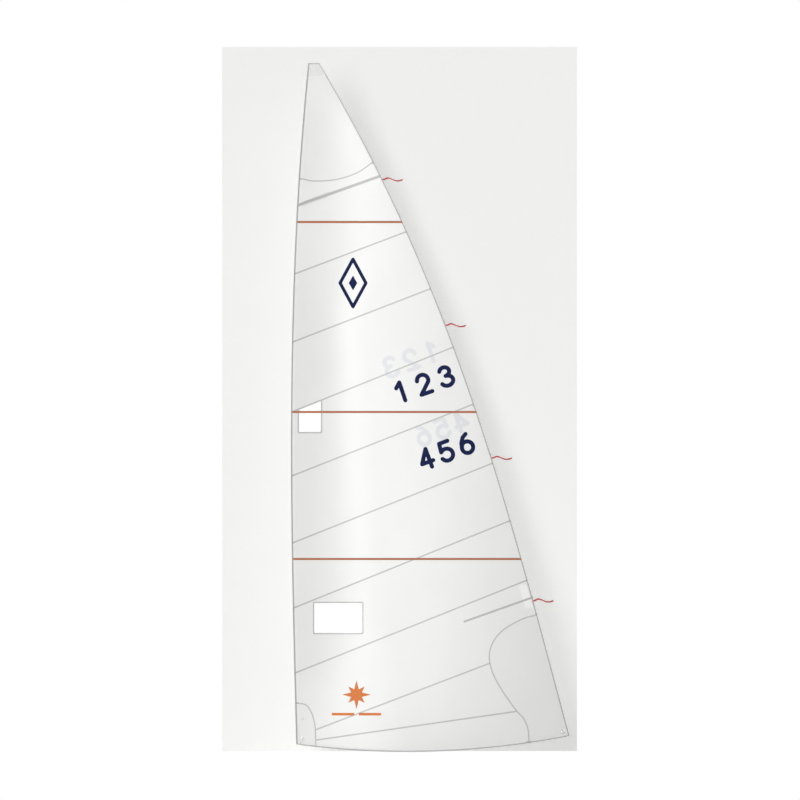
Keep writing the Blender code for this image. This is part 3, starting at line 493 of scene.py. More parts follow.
class Graph:
    """The shader nodes of a material or a world."""

    def __init__(self, owner):
        owner.use_nodes = True
        self.nodes, self.links = owner.node_tree.nodes, owner.node_tree.links

    def give(self, socket, value):
        if isinstance(value, Value):
            self.links.new(value.socket, socket)
        else:
            socket.default_value = value

    def add(self, kind, inputs=(), output=0, **settings):
        """Adds a node, and returns one of its outputs."""
        made = self.nodes.new(f"ShaderNode{kind}")
        for key, value in settings.items():
            setattr(made, key, value)
        for key, value in dict(inputs).items():
            self.give(made.inputs[key], value)
        return Value(self, made.outputs[output])

    def math(self, operation, *values):
        return self.add("Math", enumerate(values), operation=operation)

    def rays(self, first, *others):
        """1 for rays of these kinds, and 0 for others."""
        found = self.add("LightPath", output=f"Is {first} Ray")
        for kind in others:
            found = self.math("MAXIMUM", found, self.add("LightPath", output=f"Is {kind} Ray"))
        return found


class Look(Graph):
    def __init__(self, name, color, roughness, **values):
        self.made = bpy.data.materials.new(name)
        super().__init__(self.made)
        self.set(Base_Color=(*color, 1.0), Roughness=roughness, **values)

    def set(self, **values):
        """Sets inputs of the shader, and returns the material."""
        for key, value in values.items():
            self.give(self.nodes["Principled BSDF"].inputs[key.replace("_", " ")], value)
        return self.made

    def fade(self, value, start, end, low=0.0, high=1.0):
        """low below start, high above end and smooth between."""
        inputs = {"Value": value, "From Min": start, "From Max": end, "To Min": low, "To Max": high}
        return self.add("MapRange", inputs, interpolation_type="SMOOTHSTEP")

    def blend(self, share, first, second):
        first, second = ((*color, 1.0) if isinstance(color, tuple) else color for color in (first, second))
        return self.add("Mix", {0: share, 6: first, 7: second}, 2, data_type="RGBA")

    def noise(self, scale, detail=3.0, vector=None):
        vector = vector or self.add("TexCoord", output="Object")
        return self.add("TexNoise", {"Scale": scale, "Detail": detail, "Vector": vector})

    def stretched(self, scale=(1, 1, 1), rise=0.0):
        """Object coordinates, scaled along each axis, the first of which may rise aft, in degrees."""
        inputs = {
            "Vector": self.add("TexCoord", output="Object"),
            "Rotation": (0.0, -radians(rise), 0.0),
            "Scale": tuple(1 / factor for factor in scale),
        }
        return self.add("Mapping", inputs, vector_type="TEXTURE")

    def parts(self, vector):
        sockets = self.add("SeparateXYZ", {0: vector}).socket.node.outputs
        return [Value(self, socket) for socket in sockets]

    def bump(self, height, distance, strength=1.0, over=None):
        inputs = {"Height": height, "Distance": distance, "Strength": strength}
        if over:
            inputs["Normal"] = over
        return self.add("Bump", inputs)

    def wave(self, value, pitch):
        return self.math("SINE", value * (2 * pi / pitch))

    def sewn(self):
        """How far along its seam and across it a place lies."""
        return self.parts(self.add("Attribute", output="Vector", attribute_name="sewn"))[:2]

    def under(self):
        """How strongly something shows through."""
        return self.add("Attribute", output="Fac", attribute_name="under")

    def zigzag(self, along, across, *rows, length=0.0045, width=0.005, thread=0.0008):
        """1 on zigzag rows of stitches, each at its distance across."""
        found = []
        for row in rows:
            wave = self.math("PINGPONG", along, length) * (width / length)
            away = abs(across - (wave + (row - width / 2)))
            found.append(self.fade(away, thread * 0.5, thread * 1.1, 1.0, 0.0))
        return found[0] if len(found) == 1 else self.math("MAXIMUM", *found)

    def weave(self, distance):
        """The bump of crossing threads."""
        x, _, z = self.parts(self.stretched())
        warp, weft = x * 0.94 + z * 0.34, z * 0.94 - x * 0.34
        return self.bump(self.wave(warp, 0.0011) * self.wave(weft, 0.0011), distance)


THREAD = (0.52, 0.53, 0.54)
SEAM_COLOR = (0.27, 0.273, 0.268)


def shaded(color, share):
    return tuple(c * share for c in color)


def sailcloth(name, color, shows=True, edge=LAP / 2, coat=1.0):
    """Woven polyester: threads, faint mottling, stitched laps, and what shows through it. The other side's
    marks showing through are painted shade, and the laps' dark grey is partly painted shade.
    """
    look = Look(name, color, 0.41, Specular_IOR_Level=coat, Coat_Weight=coat, Coat_Roughness=0.40)
    along, across = look.sewn()
    tone = look.blend(look.fade(look.noise(2.2, 4.0), 0.3, 0.7), color, shaded(color, 0.975))
    fine = look.fade(look.noise(420.0, 2.0), 0.35, 0.65, 0.0, 0.5)
    tone = look.blend(fine, tone, shaded(color, 0.985))
    if shows:
        under = look.under()
        # Painted shade: the cloth is painted a darker blue grey where the other side's marks show through it.
        tone = look.blend(look.fade(under, 0.0, 1.0) * 0.72, tone, (0.470, 0.477, 0.512))
        tone = look.blend(look.fade(under, 0.0, -1.0) * 0.45, tone, (0.80, 0.80, 0.79))
    # Partly painted shade: the lap band is painted dark grey, for the seam and for doubled cloth seen with
    # light coming through it.
    lap = look.fade(abs(across), edge - 0.002, edge + 0.0015, 1.0, 0.0)
    tone = look.blend(lap * 0.88, tone, SEAM_COLOR)
    stitch = look.zigzag(along, across, 0.0055, -0.0055)
    normal = look.bump(look.noise(5.0, 3.0), 0.0012, 0.5, look.weave(0.000012))
    normal = look.bump(lap * look.wave(along, 0.018), 0.00012, 1.0, normal)
    return look.set(
        Base_Color=look.blend(stitch * 0.85, tone, THREAD),
        Roughness=look.fade(look.noise(9.0, 3.0), 0.3, 0.7, 0.39, 0.45) + lap * 0.08,
        Normal=look.bump(stitch, 0.0003, 1.0, normal),
    )


def edge_tape(name, width, dark):
    """Folded woven tape: grey round the edge and at its cut end, and stitched along its inner side."""
    pale = (0.68, 0.68, 0.675)
    look = Look(name, pale, 0.42, Specular_IOR_Level=0.5, Sheen_Weight=0.05)
    along, inward = look.sewn()
    cut = look.fade(along, 0.009, 0.013, 1.0, 0.0)
    folded = look.math("MAXIMUM", cut, look.fade(inward, dark - 0.003, dark + 0.002, 1.0, 0.0))
    worn = look.fade(look.noise(14.0, 4.0), 0.35, 0.75, 0.0, 0.35)
    tone = look.blend(worn, pale, (0.62, 0.62, 0.61))
    tone = look.blend(folded * 0.95, tone, (0.315, 0.318, 0.312))
    # Painted shade: seams and patch edges under the tape are painted dark grey where they show through it.
    tone = look.blend(look.under() * 0.88, tone, SEAM_COLOR)
    stitch = look.zigzag(along, inward, width - 0.006, width - 0.014)
    return look.set(
        Base_Color=look.blend(stitch * 0.85, tone, THREAD),
        Roughness=look.fade(look.noise(40.0), 0.3, 0.7, 0.38, 0.52),
        Normal=look.bump(stitch, 0.0003, 1.0, look.bump(look.wave(along, 0.0016), 0.00006)),
    )


def mark_film(name, color, worn):
    """Adhesive insignia film: satin, with the cloth's weave telegraphing through and scuffs."""
    look = Look(name, color, 0.50, Specular_IOR_Level=0.11)
    return look.set(
        Base_Color=look.blend(look.fade(look.noise(26.0, 6.0), 0.56, 0.74) * 0.30, color, worn),
        Roughness=look.fade(look.noise(60.0, 4.0), 0.3, 0.7, 0.45, 0.58),
        Normal=look.weave(0.00001),
    )


def clear_film():
    """Clear vinyl: see-through, glossy, with fine scratches and a faint haze, and sewn round its hem."""
    look = Look("window_film", (0.93, 0.94, 0.94), 0.12, Specular_IOR_Level=0.6, Alpha=0.5)
    along, across = look.sewn()
    hem = look.fade(across, -0.002, 0.0, 0.0, 1.0)
    stitch = look.zigzag(along, across, 0.007)
    scratch = look.fade(look.noise(30.0, 8.0, look.stretched((1, 1, 14))), 0.60, 0.68)
    seen = look.math("MAXIMUM", scratch * 0.15 + 0.42, hem * 0.95)
    tone = look.blend(hem, (0.94, 0.95, 0.95), (0.33, 0.335, 0.33))
    return look.set(
        Base_Color=look.blend(stitch, tone, THREAD),
        Roughness=scratch * 0.25 + 0.10,
        Normal=look.bump(look.noise(6.0, 2.0), 0.0015, 0.6),
        Alpha=look.math("MAXIMUM", seen, stitch),
    )


def ribbon_cloth():
    look = Look("ribbon_cloth", (0.40, 0.052, 0.048), 0.5, Specular_IOR_Level=0.3)
    faded = look.fade(look.noise(30.0, 3.0), 0.3, 0.7)
    x, _, z = look.parts(look.stretched())
    check = look.math("MAXIMUM", look.wave(x, 0.003), look.wave(z, 0.003))
    return look.set(
        Base_Color=look.blend(faded, (0.38, 0.045, 0.043), (0.48, 0.085, 0.075)),
        Normal=look.bump(check, 0.00005),
    )


def brushed_metal(name, color, roughness, scale, rim=None):
    """Metal with fine brushing one way and dulled patches, darker above a height if one is given."""
    look = Look(name, color, roughness, Metallic=1.0)
    grain = look.noise(1.0, 6.0, look.stretched(scale))
    dull = look.fade(look.noise(55.0, 4.0), 0.42, 0.68)
    tone = look.blend(dull * 0.6, color, shaded(color, 0.84))
    # Darker above the given height, along the top edge.
    if rim:
        height = look.parts(look.stretched())[2]
        tone = look.blend(look.fade(height, rim, rim + 0.003), tone, shaded(color, 0.62))
    return look.set(
        Base_Color=tone,
        Roughness=look.fade(grain, 0.25, 0.75, roughness - 0.06, roughness + 0.06) + dull * 0.08,
        Normal=look.bump(grain, 0.00006, 0.6),
    )


def moulded_nylon():
    black = (0.035, 0.036, 0.038)
    look = Look("moulded_nylon", black, 0.42)
    rubbed = look.fade(look.noise(120.0, 5.0), 0.52, 0.72)
    return look.set(
        Base_Color=look.blend(rubbed * 0.5, black, (0.085, 0.085, 0.085)),
        Roughness=look.fade(rubbed, 0.0, 1.0, 0.38, 0.58),
        Normal=look.bump(look.noise(900.0, 2.0), 0.00003),
    )


BATTEN_RISE = 20.0


def glass_fibre():
    """Pultruded glass fibre: greenish, with streaks along the batten."""
    look = Look("glass_fibre", (0.50, 0.53, 0.42), 0.33, Coat_Weight=0.15, Coat_Roughness=0.2)
    streaks = look.noise(1.0, 5.0, look.stretched((9, 160, 420), BATTEN_RISE))
    return look.set(
        Base_Color=look.blend(look.fade(streaks, 0.3, 0.7), (0.44, 0.47, 0.36), (0.60, 0.62, 0.52)),
        Roughness=look.fade(streaks, 0.3, 0.7, 0.27, 0.40),
        Normal=look.bump(streaks, 0.00006),
    )


def laid_rope():
    """Three strand rope: a twist along Z, with fibres in each strand."""
    look = Look("laid_rope", (0.70, 0.69, 0.64), 0.72, Sheen_Weight=0.2)
    _, y, z = look.parts(look.stretched())
    strand = look.math("SINE", z * (2 * pi / 0.011) + y * 420.0)
    fibre = look.noise(700.0, 2.0, look.stretched((1, 1, 0.3)))
    # Painted shade: the grooves between the strands are painted darker.
    shade = look.blend(look.fade(strand, -1.0, -0.2), (0.42, 0.41, 0.37), (0.72, 0.71, 0.66))
    return look.set(
        Base_Color=look.blend(look.fade(fibre, 0.4, 0.8, 0.0, 0.3), shade, (0.8, 0.79, 0.74)),
        Normal=look.bump(fibre, 0.00008, 1.0, look.bump(strand, 0.0006)),
    )


PANEL_CLOTH = sailcloth("panel_cloth", (0.615, 0.617, 0.606))
PATCH_CLOTH = sailcloth("corner_cloth", (0.606, 0.608, 0.597), shows=False, edge=0.0105)
POCKET_CLOTH = sailcloth("pocket_cloth", (0.625, 0.627, 0.616), shows=False, edge=0.003, coat=0.4)
LUFF_TAPE_CLOTH = edge_tape("luff_tape_cloth", LUFF_TAPE, 0.014)
# Painted shade: dark grey, for the battens seen through the cloth.
BATTEN_SHADE_CLOTH = sailcloth("batten_shade_cloth", (0.275, 0.277, 0.27), shows=False, edge=0.001)
EDGE_TAPE_CLOTH = edge_tape("edge_tape_cloth", LEECH_TAPE, 0.014)
WINDOW_FILM = clear_film()
STRIPE_FILM = mark_film("stripe_film", (0.37, 0.140, 0.072), (0.46, 0.22, 0.14))
NAVY_FILM = mark_film("navy_film", (0.001, 0.006, 0.048), (0.010, 0.022, 0.085))
ORANGE_FILM = mark_film("orange_film", (0.60, 0.180, 0.052), (0.66, 0.26, 0.12))
RIBBON_CLOTH = ribbon_cloth()
BOARD_METAL = brushed_metal("board_metal", (0.50, 0.50, 0.495), 0.42, (30, 30, 900), HEAD_Z - 0.016)
RIVET_METAL = brushed_metal("rivet_metal", (0.56, 0.565, 0.57), 0.34, (300, 300, 300))
RING_METAL = brushed_metal("ring_metal", (0.50, 0.50, 0.495), 0.28, (300, 300, 300))
NYLON = moulded_nylon()
FIBRE = glass_fibre()
ROPE = laid_rope()


# The cloth.
def ring_holes(spare):
    """A field outside every ring's hole and the halyard's."""
    places = [
        (CLEW_X * (right < 0) + right, CLEW_Z * (right < 0) + up, hole + BARREL_SPARE + spare)
        for right, up, hole, _ in RINGS.values()
    ]
    right, up, hole = HALYARD_HOLE
    places.append((HEAD_X + right, HEAD_Z + up, hole + HALYARD_SPARE + spare))
    return lambda x, z: np.max([r - np.hypot(x - a, z - b) for a, b, r in places], axis=0)


def shown_through(x, z, starboard):
    """How strongly the other side's marks show through, painted as shade, or less than 0 where the cloth is
    doubled.
    """
    soft = 0.014
    on_port, on_starboard = (
        1 - smoothstep((stroke_field(paths, STROKE)(x, z) + soft) / (2 * soft))
        for paths in (PORT_PATHS, STARBOARD_PATHS)
    )
    shown = np.where(starboard, on_port, on_starboard)
    aft = leech_x(z) - x
    reinforced = (1 - smoothstep((aft - 0.11) / 0.05)) * (1 - smoothstep((np.abs(z - 1.975) - 0.13) / 0.05))
    return np.where(shown > 0.02, shown, -reinforced)


# Panels with a window, or with marks that show through them.
FINE_PANELS = range(2, 7)


def panels():
    """The panels, from the head down. Every second one lies outside its neighbours' edges."""
    no_holes = ring_holes(0.006)
    edges = [None, *SEAMS, None]
    for n, (above, below) in enumerate(zip(edges, edges[1:])):
        lines = [(seam_line(seam), sign) for seam, sign in ((below, 1), (above, -1)) if seam]
        window = window_outline(n == 3) if n in (3, 6) else None
        hole = outline_field(window) if window else None

        def across_seam(x, z, line, sign):
            height, slope = line
            return sign * (z - height(x)) / hypot(1, slope)

        def field(x, z):
            parts = [whole_sail(x, z), no_holes(x, z)]
            parts += [-across_seam(x, z, line, sign) - LAP / 2 for line, sign in lines]
            return np.max(parts + ([-hole(x, z)] if hole else []), axis=0)

        def sewn(x, z):
            rows = [(x * hypot(1, line[1]), across_seam(x, z, line, sign)) for line, sign in lines]
            if window:
                hem = nearest(x, z, window + window[:1])[0] - WINDOW_HEM / 2
                rows.append((window_run(window)(x, z), hem))
            along, across = np.zeros(len(x)), np.full(len(x), 9.0)
            for run, here in rows:
                nearer = np.abs(here) < np.abs(across)
                along, across = np.where(nearer, run, along), np.where(nearer, here, across)
            return along, across

        low = min(below) - 0.05 if below else -0.12
        high = max(above) + 0.05 if above else HEAD_Z
        right = (leech_x(max(below[1] - 0.05, CLEW_Z)) if below else CLEW_X) + 0.05
        name = f"cloth_panel_{n + 1:02d}"
        layer = OUTER_PLY if n % 2 else INNER_PLY
        box = (-0.10, right, low, high)
        step = PANEL_STEP / 2 if n in FINE_PANELS else PANEL_STEP
        piece = flat_piece(name, field, box, step, layer, PANEL_CLOTH, sewn, shown_through)
        assign(piece, "sailcloth", f"panel_{n + 1:02d}")
        declare(piece, lines[0][0][1])


def smooth_line(points, steps=6):
    """A smooth line through all points but the first and last, which set its ends' slope."""
    line = []
    for before, start, end, after in zip(points, points[1:], points[2:], points[3:]):
        for step in range(steps):
            t = step / steps
            line.append(tuple(
                b + t / 2 * (c - a + t * (2 * a - 5 * b + 4 * c - d + t * (3 * b - a - 3 * c + d)))
                for a, b, c, d in zip(before, start, end, after)
            ))
    return [points[0]] + line + [points[-2], points[-1]]


FAR = CLEW_X + 0.5
# Each corner: its patch's free edge from the corner, the rest of its outline, and its box.
CORNERS = (
    ("head", HEAD_PATCH, (HEAD_X, HEAD_Z), [(FAR, HEAD_Z + 0.1), (-0.5, HEAD_Z + 0.1)],
     (-0.05, 1.10, HEAD_Z - 1.62, HEAD_Z)),
    ("tack", TACK_PATCH, (0.0, 0.0), [(-0.5, -0.5), (-0.5, 0.5)], (-0.02, 0.30, -0.05, 0.60)),
    ("clew", CLEW_PATCH, (CLEW_X, CLEW_Z), [(FAR, -0.5), (FAR, CLEW_Z + 1.7)],
     (CLEW_X - 1.12, CLEW_X, -0.05, CLEW_Z + 1.70)),
)


def patch_line(points, corner):
    return smooth_line([(corner[0] + right, corner[1] + up) for right, up in points])


def patches():
    """The corner patches, one on each side of the sail at each corner."""
    no_holes = ring_holes(0.0)
    for corner, points, place, rest, box in CORNERS:
        line = patch_line(points, place)
        outline = outline_field(line + rest)

        def field(x, z):
            return np.max([outline(x, z), between_tapes(x, z), no_holes(x, z)], axis=0)

        for side, layer in (("port", PORT_PATCH), ("starboard", STARBOARD_PATCH)):
            name = f"{corner}_patch_cloth_{side}"
            piece = flat_piece(name, field, box, PATCH_STEP, layer, PATCH_CLOTH, beside(line, 0.007))
            assign(piece, "patch_cloth", f"{corner}_patch_{side}")
            declare(piece)


def windows():
    for name, upper in (("upper_window", True), ("lower_window", False)):
        outline = window_outline(upper, WINDOW_HEM)
        opening = window_outline(upper)
        field, edge, run = outline_field(outline), outline_field(opening), window_run(opening)

        def sewn(x, z):
            return run(x, z), edge(x, z)

        xs, zs = zip(*outline)
        box = (min(xs), max(xs), min(zs), max(zs))
        piece = flat_piece(f"{name}_film", field, box, PATCH_STEP / 2, WINDOW_PLY, WINDOW_FILM, sewn)
        assign(piece, "clear_film", name)
        declare(piece)


def stripes():
    port, starboard = TAPE_PORT - TAPE - GAP, TAPE_STARBOARD + TAPE + GAP
    layers = (("port", (port - STRIPE, port)), ("starboard", (starboard, starboard + STRIPE)))
    for n, height in enumerate(STRIPE_HEIGHTS):
        def field(x, z):
            start = luff_x(height) + 2 * TAPE + 2 * GAP
            return np.max([np.abs(z - height) - STRIPE_WIDTH / 2, start - x, x - leech_x(z)], axis=0)

        box = (-0.15, leech_x(height) + 0.05, height - 0.03, height + 0.03)
        for side, layer in layers:
            piece = flat_piece(f"stripe_{n + 1}_{side}", field, box, PATCH_STEP, layer, STRIPE_FILM)
            assign(piece, "stripe_film", f"draft_stripe_{n + 1}_{side}")


def batten_bands():
    """Bands of grey cloth sewn on port, over the top and the bottom batten. Their dark grey is painted shade,
    for the battens seen through the cloth.
    """
    port = TAPE_PORT - TAPE - GAP
    for name, (start, end, width) in zip(("top", "bottom"), BATTEN_BANDS):
        def field(x, z):
            away = nearest(x, z, [start, end])[0] - width / 2
            return np.max([away, luff_x(z) + 0.002 - x, x - leech_x(z)], axis=0)

        box = (start[0] - 0.03, end[0] + 0.03, start[1] - 0.05, end[1] + 0.05)
        layer = (port - BAND_THICK, port)
        sewn = beside([start, end], width / 2 - 0.003)
        piece = flat_piece(f"{name}_batten_band", field, box, MARK_STEP, layer, BATTEN_SHADE_CLOTH, sewn)
        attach(piece, "sail")
        slope = (end[1] - start[1]) / (end[0] - start[0])
        declare(piece, slope)


def marks():
    """Plain numbers on both sides, and a hollow diamond and an eight-pointed star on port."""
    made = []
    for side, rows, layer in (("port", PORT_ROWS, MARK_PORT), ("starboard", STARBOARD_ROWS, MARK_STARBOARD)):
        for place, row in zip(("upper", "lower"), rows):
            paths = row_paths(*row)
            field, box = stroke_field(paths, STROKE), path_box(paths, STROKE)
            made.append(flat_piece(f"number_{place}_{side}", field, box, MARK_STEP, layer, NAVY_FILM))
    ring, gem = stroke_field([DIAMOND], DIAMOND_STROKE), outline_field(GEM)
    field = lambda x, z: np.minimum(ring(x, z), gem(x, z))
    made.append(flat_piece("diamond_mark", field, path_box([DIAMOND], 0.05), MARK_STEP, MARK_PORT, NAVY_FILM))
    star = outline_field(star_outline())
    cx, cz = STAR_MIDDLE
    low, high = BAR_Z - BAR_HEIGHT / 2, BAR_Z + BAR_HEIGHT / 2
    bars = []
    for inner, outer in ((cx - BARS[0], cx - BARS[1]), (cx + BARS[0], cx + BARS[1])):
        bars.append(outline_field([(inner, low), (outer, low), (outer, high), (inner, high)]))
    box = (cx - 0.36, cx + 0.36, BAR_Z - 0.04, cz + 0.22)
    field = lambda x, z: np.min([star(x, z)] + [bar(x, z) for bar in bars], axis=0)
    made.append(flat_piece("star_mark", field, box, MARK_STEP * 0.7, MARK_PORT, ORANGE_FILM))
    for piece in made:
        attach(piece, "sail")


# The tapes, swept along the edges.
TAPE_MIDDLE = (TAPE_PORT + TAPE_STARBOARD) / 2


def leg(width, aside):
    return [(width * share, aside) for share in (1.0, 0.8, 0.6, 0.4, 0.2)]


def covered():
    """A field that is 1 where a seam or a patch's edge stands out through a tape."""
    outlines = [outline_field(patch_line(points, place) + rest) for _, points, place, rest, _ in CORNERS]
    lines = [seam_line(seam) for seam in SEAMS]

    def field(x, z):
        edges = np.array([outline(x, z) for outline in outlines])
        away = np.array([np.abs(z - height(x)) / hypot(1, slope) for height, slope in lines])
        seams = np.where(edges.min(0) < 0, 9.0, away.min(0))
        return 1 - smoothstep((np.minimum(seams, np.abs(edges).min(0)) - 0.0075) / 0.004)

    return field


def tape_section(width, bend):
    """A folded tape's section: an outer and an inner side, each two legs and a bend between them."""
    sides = []
    for thick in (TAPE, 0.0):
        half = TAPE_STARBOARD - TAPE_MIDDLE + thick
        sides.append(leg(width, TAPE_MIDDLE - half) + bend(thick, half) + leg(width, TAPE_MIDDLE + half)[::-1])
    return sides[0] + sides[1][::-1]


def round_rope(thick, half):
    """A tube round the rope, ahead of the edge."""
    radius = ROPE_RADIUS + ROPE_CLEARANCE + thick
    opening = degrees(asin(half / radius))
    ahead = ROPE_RADIUS + 2 * ROPE_CLEARANCE
    return arc(-ahead, TAPE_MIDDLE, radius, radius, 360 - opening, opening, 16)


def fold(ahead):
    """A round fold ahead of the edge."""
    return lambda thick, half: arc(
        -ahead + (TAPE_STARBOARD - TAPE_MIDDLE), TAPE_MIDDLE, half, half, 270, 90, 8
    )


def sweep(name, edge, outline, look, shown):
    """A closed skin along an edge, given as pairs of edge and inner points."""
    sections, run, last = [], [], None
    for edge_point, inner_point in edge:
        into = (inner_point - edge_point).normalized()
        sections.append([edge_point + into * a + Vector((0, b, 0)) for a, b in outline])
        run.append(run[-1] + (edge_point - last).length if last else 0.0)
        last = edge_point
    shape = bmesh.new()
    loops = [[shape.verts.new(point) for point in points] for points in sections]
    skin(shape, loops, closed=True)
    for end in (loops[0], loops[-1]):
        for n in range(len(outline) // 2 - 1):
            shape.faces.new((end[n], end[n + 1], end[-2 - n], end[-1 - n]))
    bmesh.ops.recalc_face_normals(shape, faces=shape.faces[:])
    item = finished(shape, name, look, 40)
    write_sewn(item, np.repeat(run, len(outline)), np.tile([max(a, 0.0) for a, _ in outline], len(run)))
    places = np.array([point for points in sections for point in points])
    write_attribute(item, "under", shown(places[:, 0], places[:, 2]))
    return item, run[-1]


def levels_along(low, edge, width, shown):
    """Heights along an edge, close together where something shows through its tape."""
    fine = np.arange(low, HEAD_Z, 0.004)
    seen = shown(edge(fine), fine) + shown(edge(fine) + width / 2, fine) + shown(edge(fine) + width, fine)
    return np.union1d(np.linspace(low, HEAD_Z, 141), fine[seen > 0])


def tapes():
    shown = covered()
    luff = [
        (on_surface(luff_x(z), z), on_surface(luff_x(z) + 0.04, z))
        for z in levels_along(0.0, luff_x, LUFF_TAPE, shown)
    ]
    leech = [
        (on_surface(leech_x(z), z), on_surface(leech_x(z) - 0.035, z))
        for z in levels_along(CLEW_Z, leech_x, -LEECH_TAPE, shown)
    ]
    xs = np.linspace(LUFF_TAPE + 2 * GAP, CLEW_X - LEECH_TAPE - 2 * GAP, 71)
    foot = [(on_surface(x, foot_z(x)), on_surface(x, foot_z(x) + 0.032)) for x in xs]
    line_fold, foot_fold = fold(2 * (LINE_RADIUS + LINE_CLEARANCE)), fold(0.0016)
    for name, edge, width, bend, look, nodes in (
        ("luff", luff, LUFF_TAPE, round_rope, LUFF_TAPE_CLOTH, ["luff_tape"]),
        ("leech", leech, LEECH_TAPE, line_fold, EDGE_TAPE_CLOTH, ["leech_tape", "leech_tape_lower"]),
        ("foot", foot, FOOT_TAPE, foot_fold, EDGE_TAPE_CLOTH, ["foot_tape"]),
    ):
        section = tape_section(width, bend)
        piece, length = sweep(f"{name}_tape_folded", edge, section, look, shown)
        assign(piece, "tape_cloth", *nodes)
        around = sum(dist(a, b) for a, b in zip(section, section[1:])) / 2


# The pockets, each a strip of cloth sewn down over its batten.
class Path:
    """The line of a pocket's floor, from the model: straight, or an arc."""

    def __init__(self, number):
        joint = JOINTS[f"batten_{number}_draws_out"]
        pocket = frame["nodes"][f"batten_{number}_pocket"].data
        points = np.array([v.co for v in pocket.vertices], float)
        axis = np.array(joint["axis"], float)
        axis /= np.linalg.norm(axis)
        self.arched = joint["type"] == "hinge"
        if self.arched:
            self.width, self.centre = axis, np.array(joint["pos_m"], float)
            out = points - self.centre
            out -= np.outer(out @ self.width, self.width)
            radii = np.linalg.norm(out, axis=1)
            self.radius = radii.min()
            middle = out.mean(0) / np.linalg.norm(out.mean(0))
            side = np.cross(self.width, middle)
            turns = np.arctan2(out @ side, out @ middle)
            way = 1 if side[0] > 0 else -1
            self.middle, self.side = middle, side * way
            self.start = (turns * way).min()
            self.length = np.ptp(turns) * self.radius
        else:
            self.tangent = axis
            spread = points - points.mean(0)
            spread -= np.outer(spread @ axis, axis)
            self.width = np.linalg.svd(spread, full_matrices=False)[2][0]
            self.normal = np.cross(self.width, axis)
            if self.normal[1] < 0:
                self.width, self.normal = -self.width, -self.normal
            runs, lifts, asides = points @ axis, points @ self.normal, points @ self.width
            self.origin = axis * runs.min() + self.normal * lifts.min()
            self.origin = self.origin + self.width * (asides.min() + asides.max()) / 2
            self.length = np.ptp(runs)

    def at(self, distance):
        """The floor's middle and the normal to starboard."""
        if not self.arched:
            return self.origin + self.tangent * distance, self.normal
        turn = self.start + distance / self.radius
        out = self.middle * cos(turn) + self.side * sin(turn)
        return self.centre + out * self.radius, out


# How far from the luff and from the leech a pocket lies on their tapes.
ON_LUFF_TAPE, ON_LEECH_TAPE = 0.047, 0.033


def over_cloth(x, z):
    """How far to starboard the sail's outermost ply lies."""
    on_tape = (x - luff_x(z) < ON_LUFF_TAPE) | (leech_x(z) - x < ON_LEECH_TAPE)
    return surface_y(x, z) + np.where(on_tape, TAPE_STARBOARD + TAPE, CLOTH) + 0.0001

# Half of a pocket's section, from its edge: how far aside, and its rise, or None where it lies on the sail.
POCKET_HALF = (
    (0.0280, None), (0.0262, None), (0.0244, None), (0.0234, 0.0015), (0.0226, 0.0042),
    (0.0216, 0.0067), (0.0203, 0.0078), (0.0180, 0.0082), (0.0110, 0.0084),
)
POCKET_SECTION = [(-aside, rise) for aside, rise in POCKET_HALF] + [(0.0, 0.0085), *POCKET_HALF[::-1]]
POCKET_CUT = sum(
    dist((a, b or 0.0), (c, d or 0.0)) for (a, b), (c, d) in zip(POCKET_SECTION, POCKET_SECTION[1:])
)
POCKET_CLOTH_THICK, POCKET_CLOSES = 0.0006, 0.011


def pockets():
    for number in range(1, 5):
        path = Path(number)
        stations = [0.0, 0.003, 0.006, 0.009, POCKET_CLOSES, *np.linspace(0.02, path.length, 56)]
        shape = bmesh.new()
        rows, along, across = [], [], []
        for distance in stations:
            base, normal = path.at(distance)
            open_share = float(smoothstep(distance / POCKET_CLOSES))
            ripple = 1 + 0.02 * sin(distance * 41 + number) * open_share
            row = []
            for aside, rise in POCKET_SECTION:
                place = base + path.width * aside
                cloth = (float(over_cloth(place[0], place[2])) - place[1]) / normal[1]
                height = cloth if rise is None else mix(cloth, rise * ripple, open_share)
                row.append(shape.verts.new(place + normal * max(height, cloth)))
                along.append(distance)
                across.append(0.028 - abs(aside) - 0.003)
            rows.append(row)
        skin(shape, rows)
        bmesh.ops.recalc_face_normals(shape, faces=shape.faces[:])
        if sum(face.normal.y for face in shape.faces) < 0:
            bmesh.ops.reverse_faces(shape, faces=shape.faces[:])
        piece = finished(shape, f"pocket_{number}_cloth", POCKET_CLOTH, 60)
        write_sewn(piece, along, across)
        thicken(piece, POCKET_CLOTH_THICK, 1.0)
        assign(piece, "patch_cloth", f"batten_{number}_pocket")


# Fittings.
def lathe(name, profile, place, look):
    """A closed profile of radius and height, turned about a frame's Z axis."""
    shape = bmesh.new()
    ring = [shape.verts.new((radius, 0, height)) for radius, height in profile]
    edges = [shape.edges.new(pair) for pair in zip(ring, ring[1:] + ring[:1])]
    bmesh.ops.spin(
        shape, geom=ring + edges, axis=(0, 0, 1), cent=(0, 0, 0), angle=2 * pi, steps=48, use_merge=True
    )
    bmesh.ops.remove_doubles(shape, verts=shape.verts[:], dist=0.00001)
    bmesh.ops.recalc_face_normals(shape, faces=shape.faces[:])
    item = finished(shape, name, look, 50)
    item.matrix_world = place
    return item


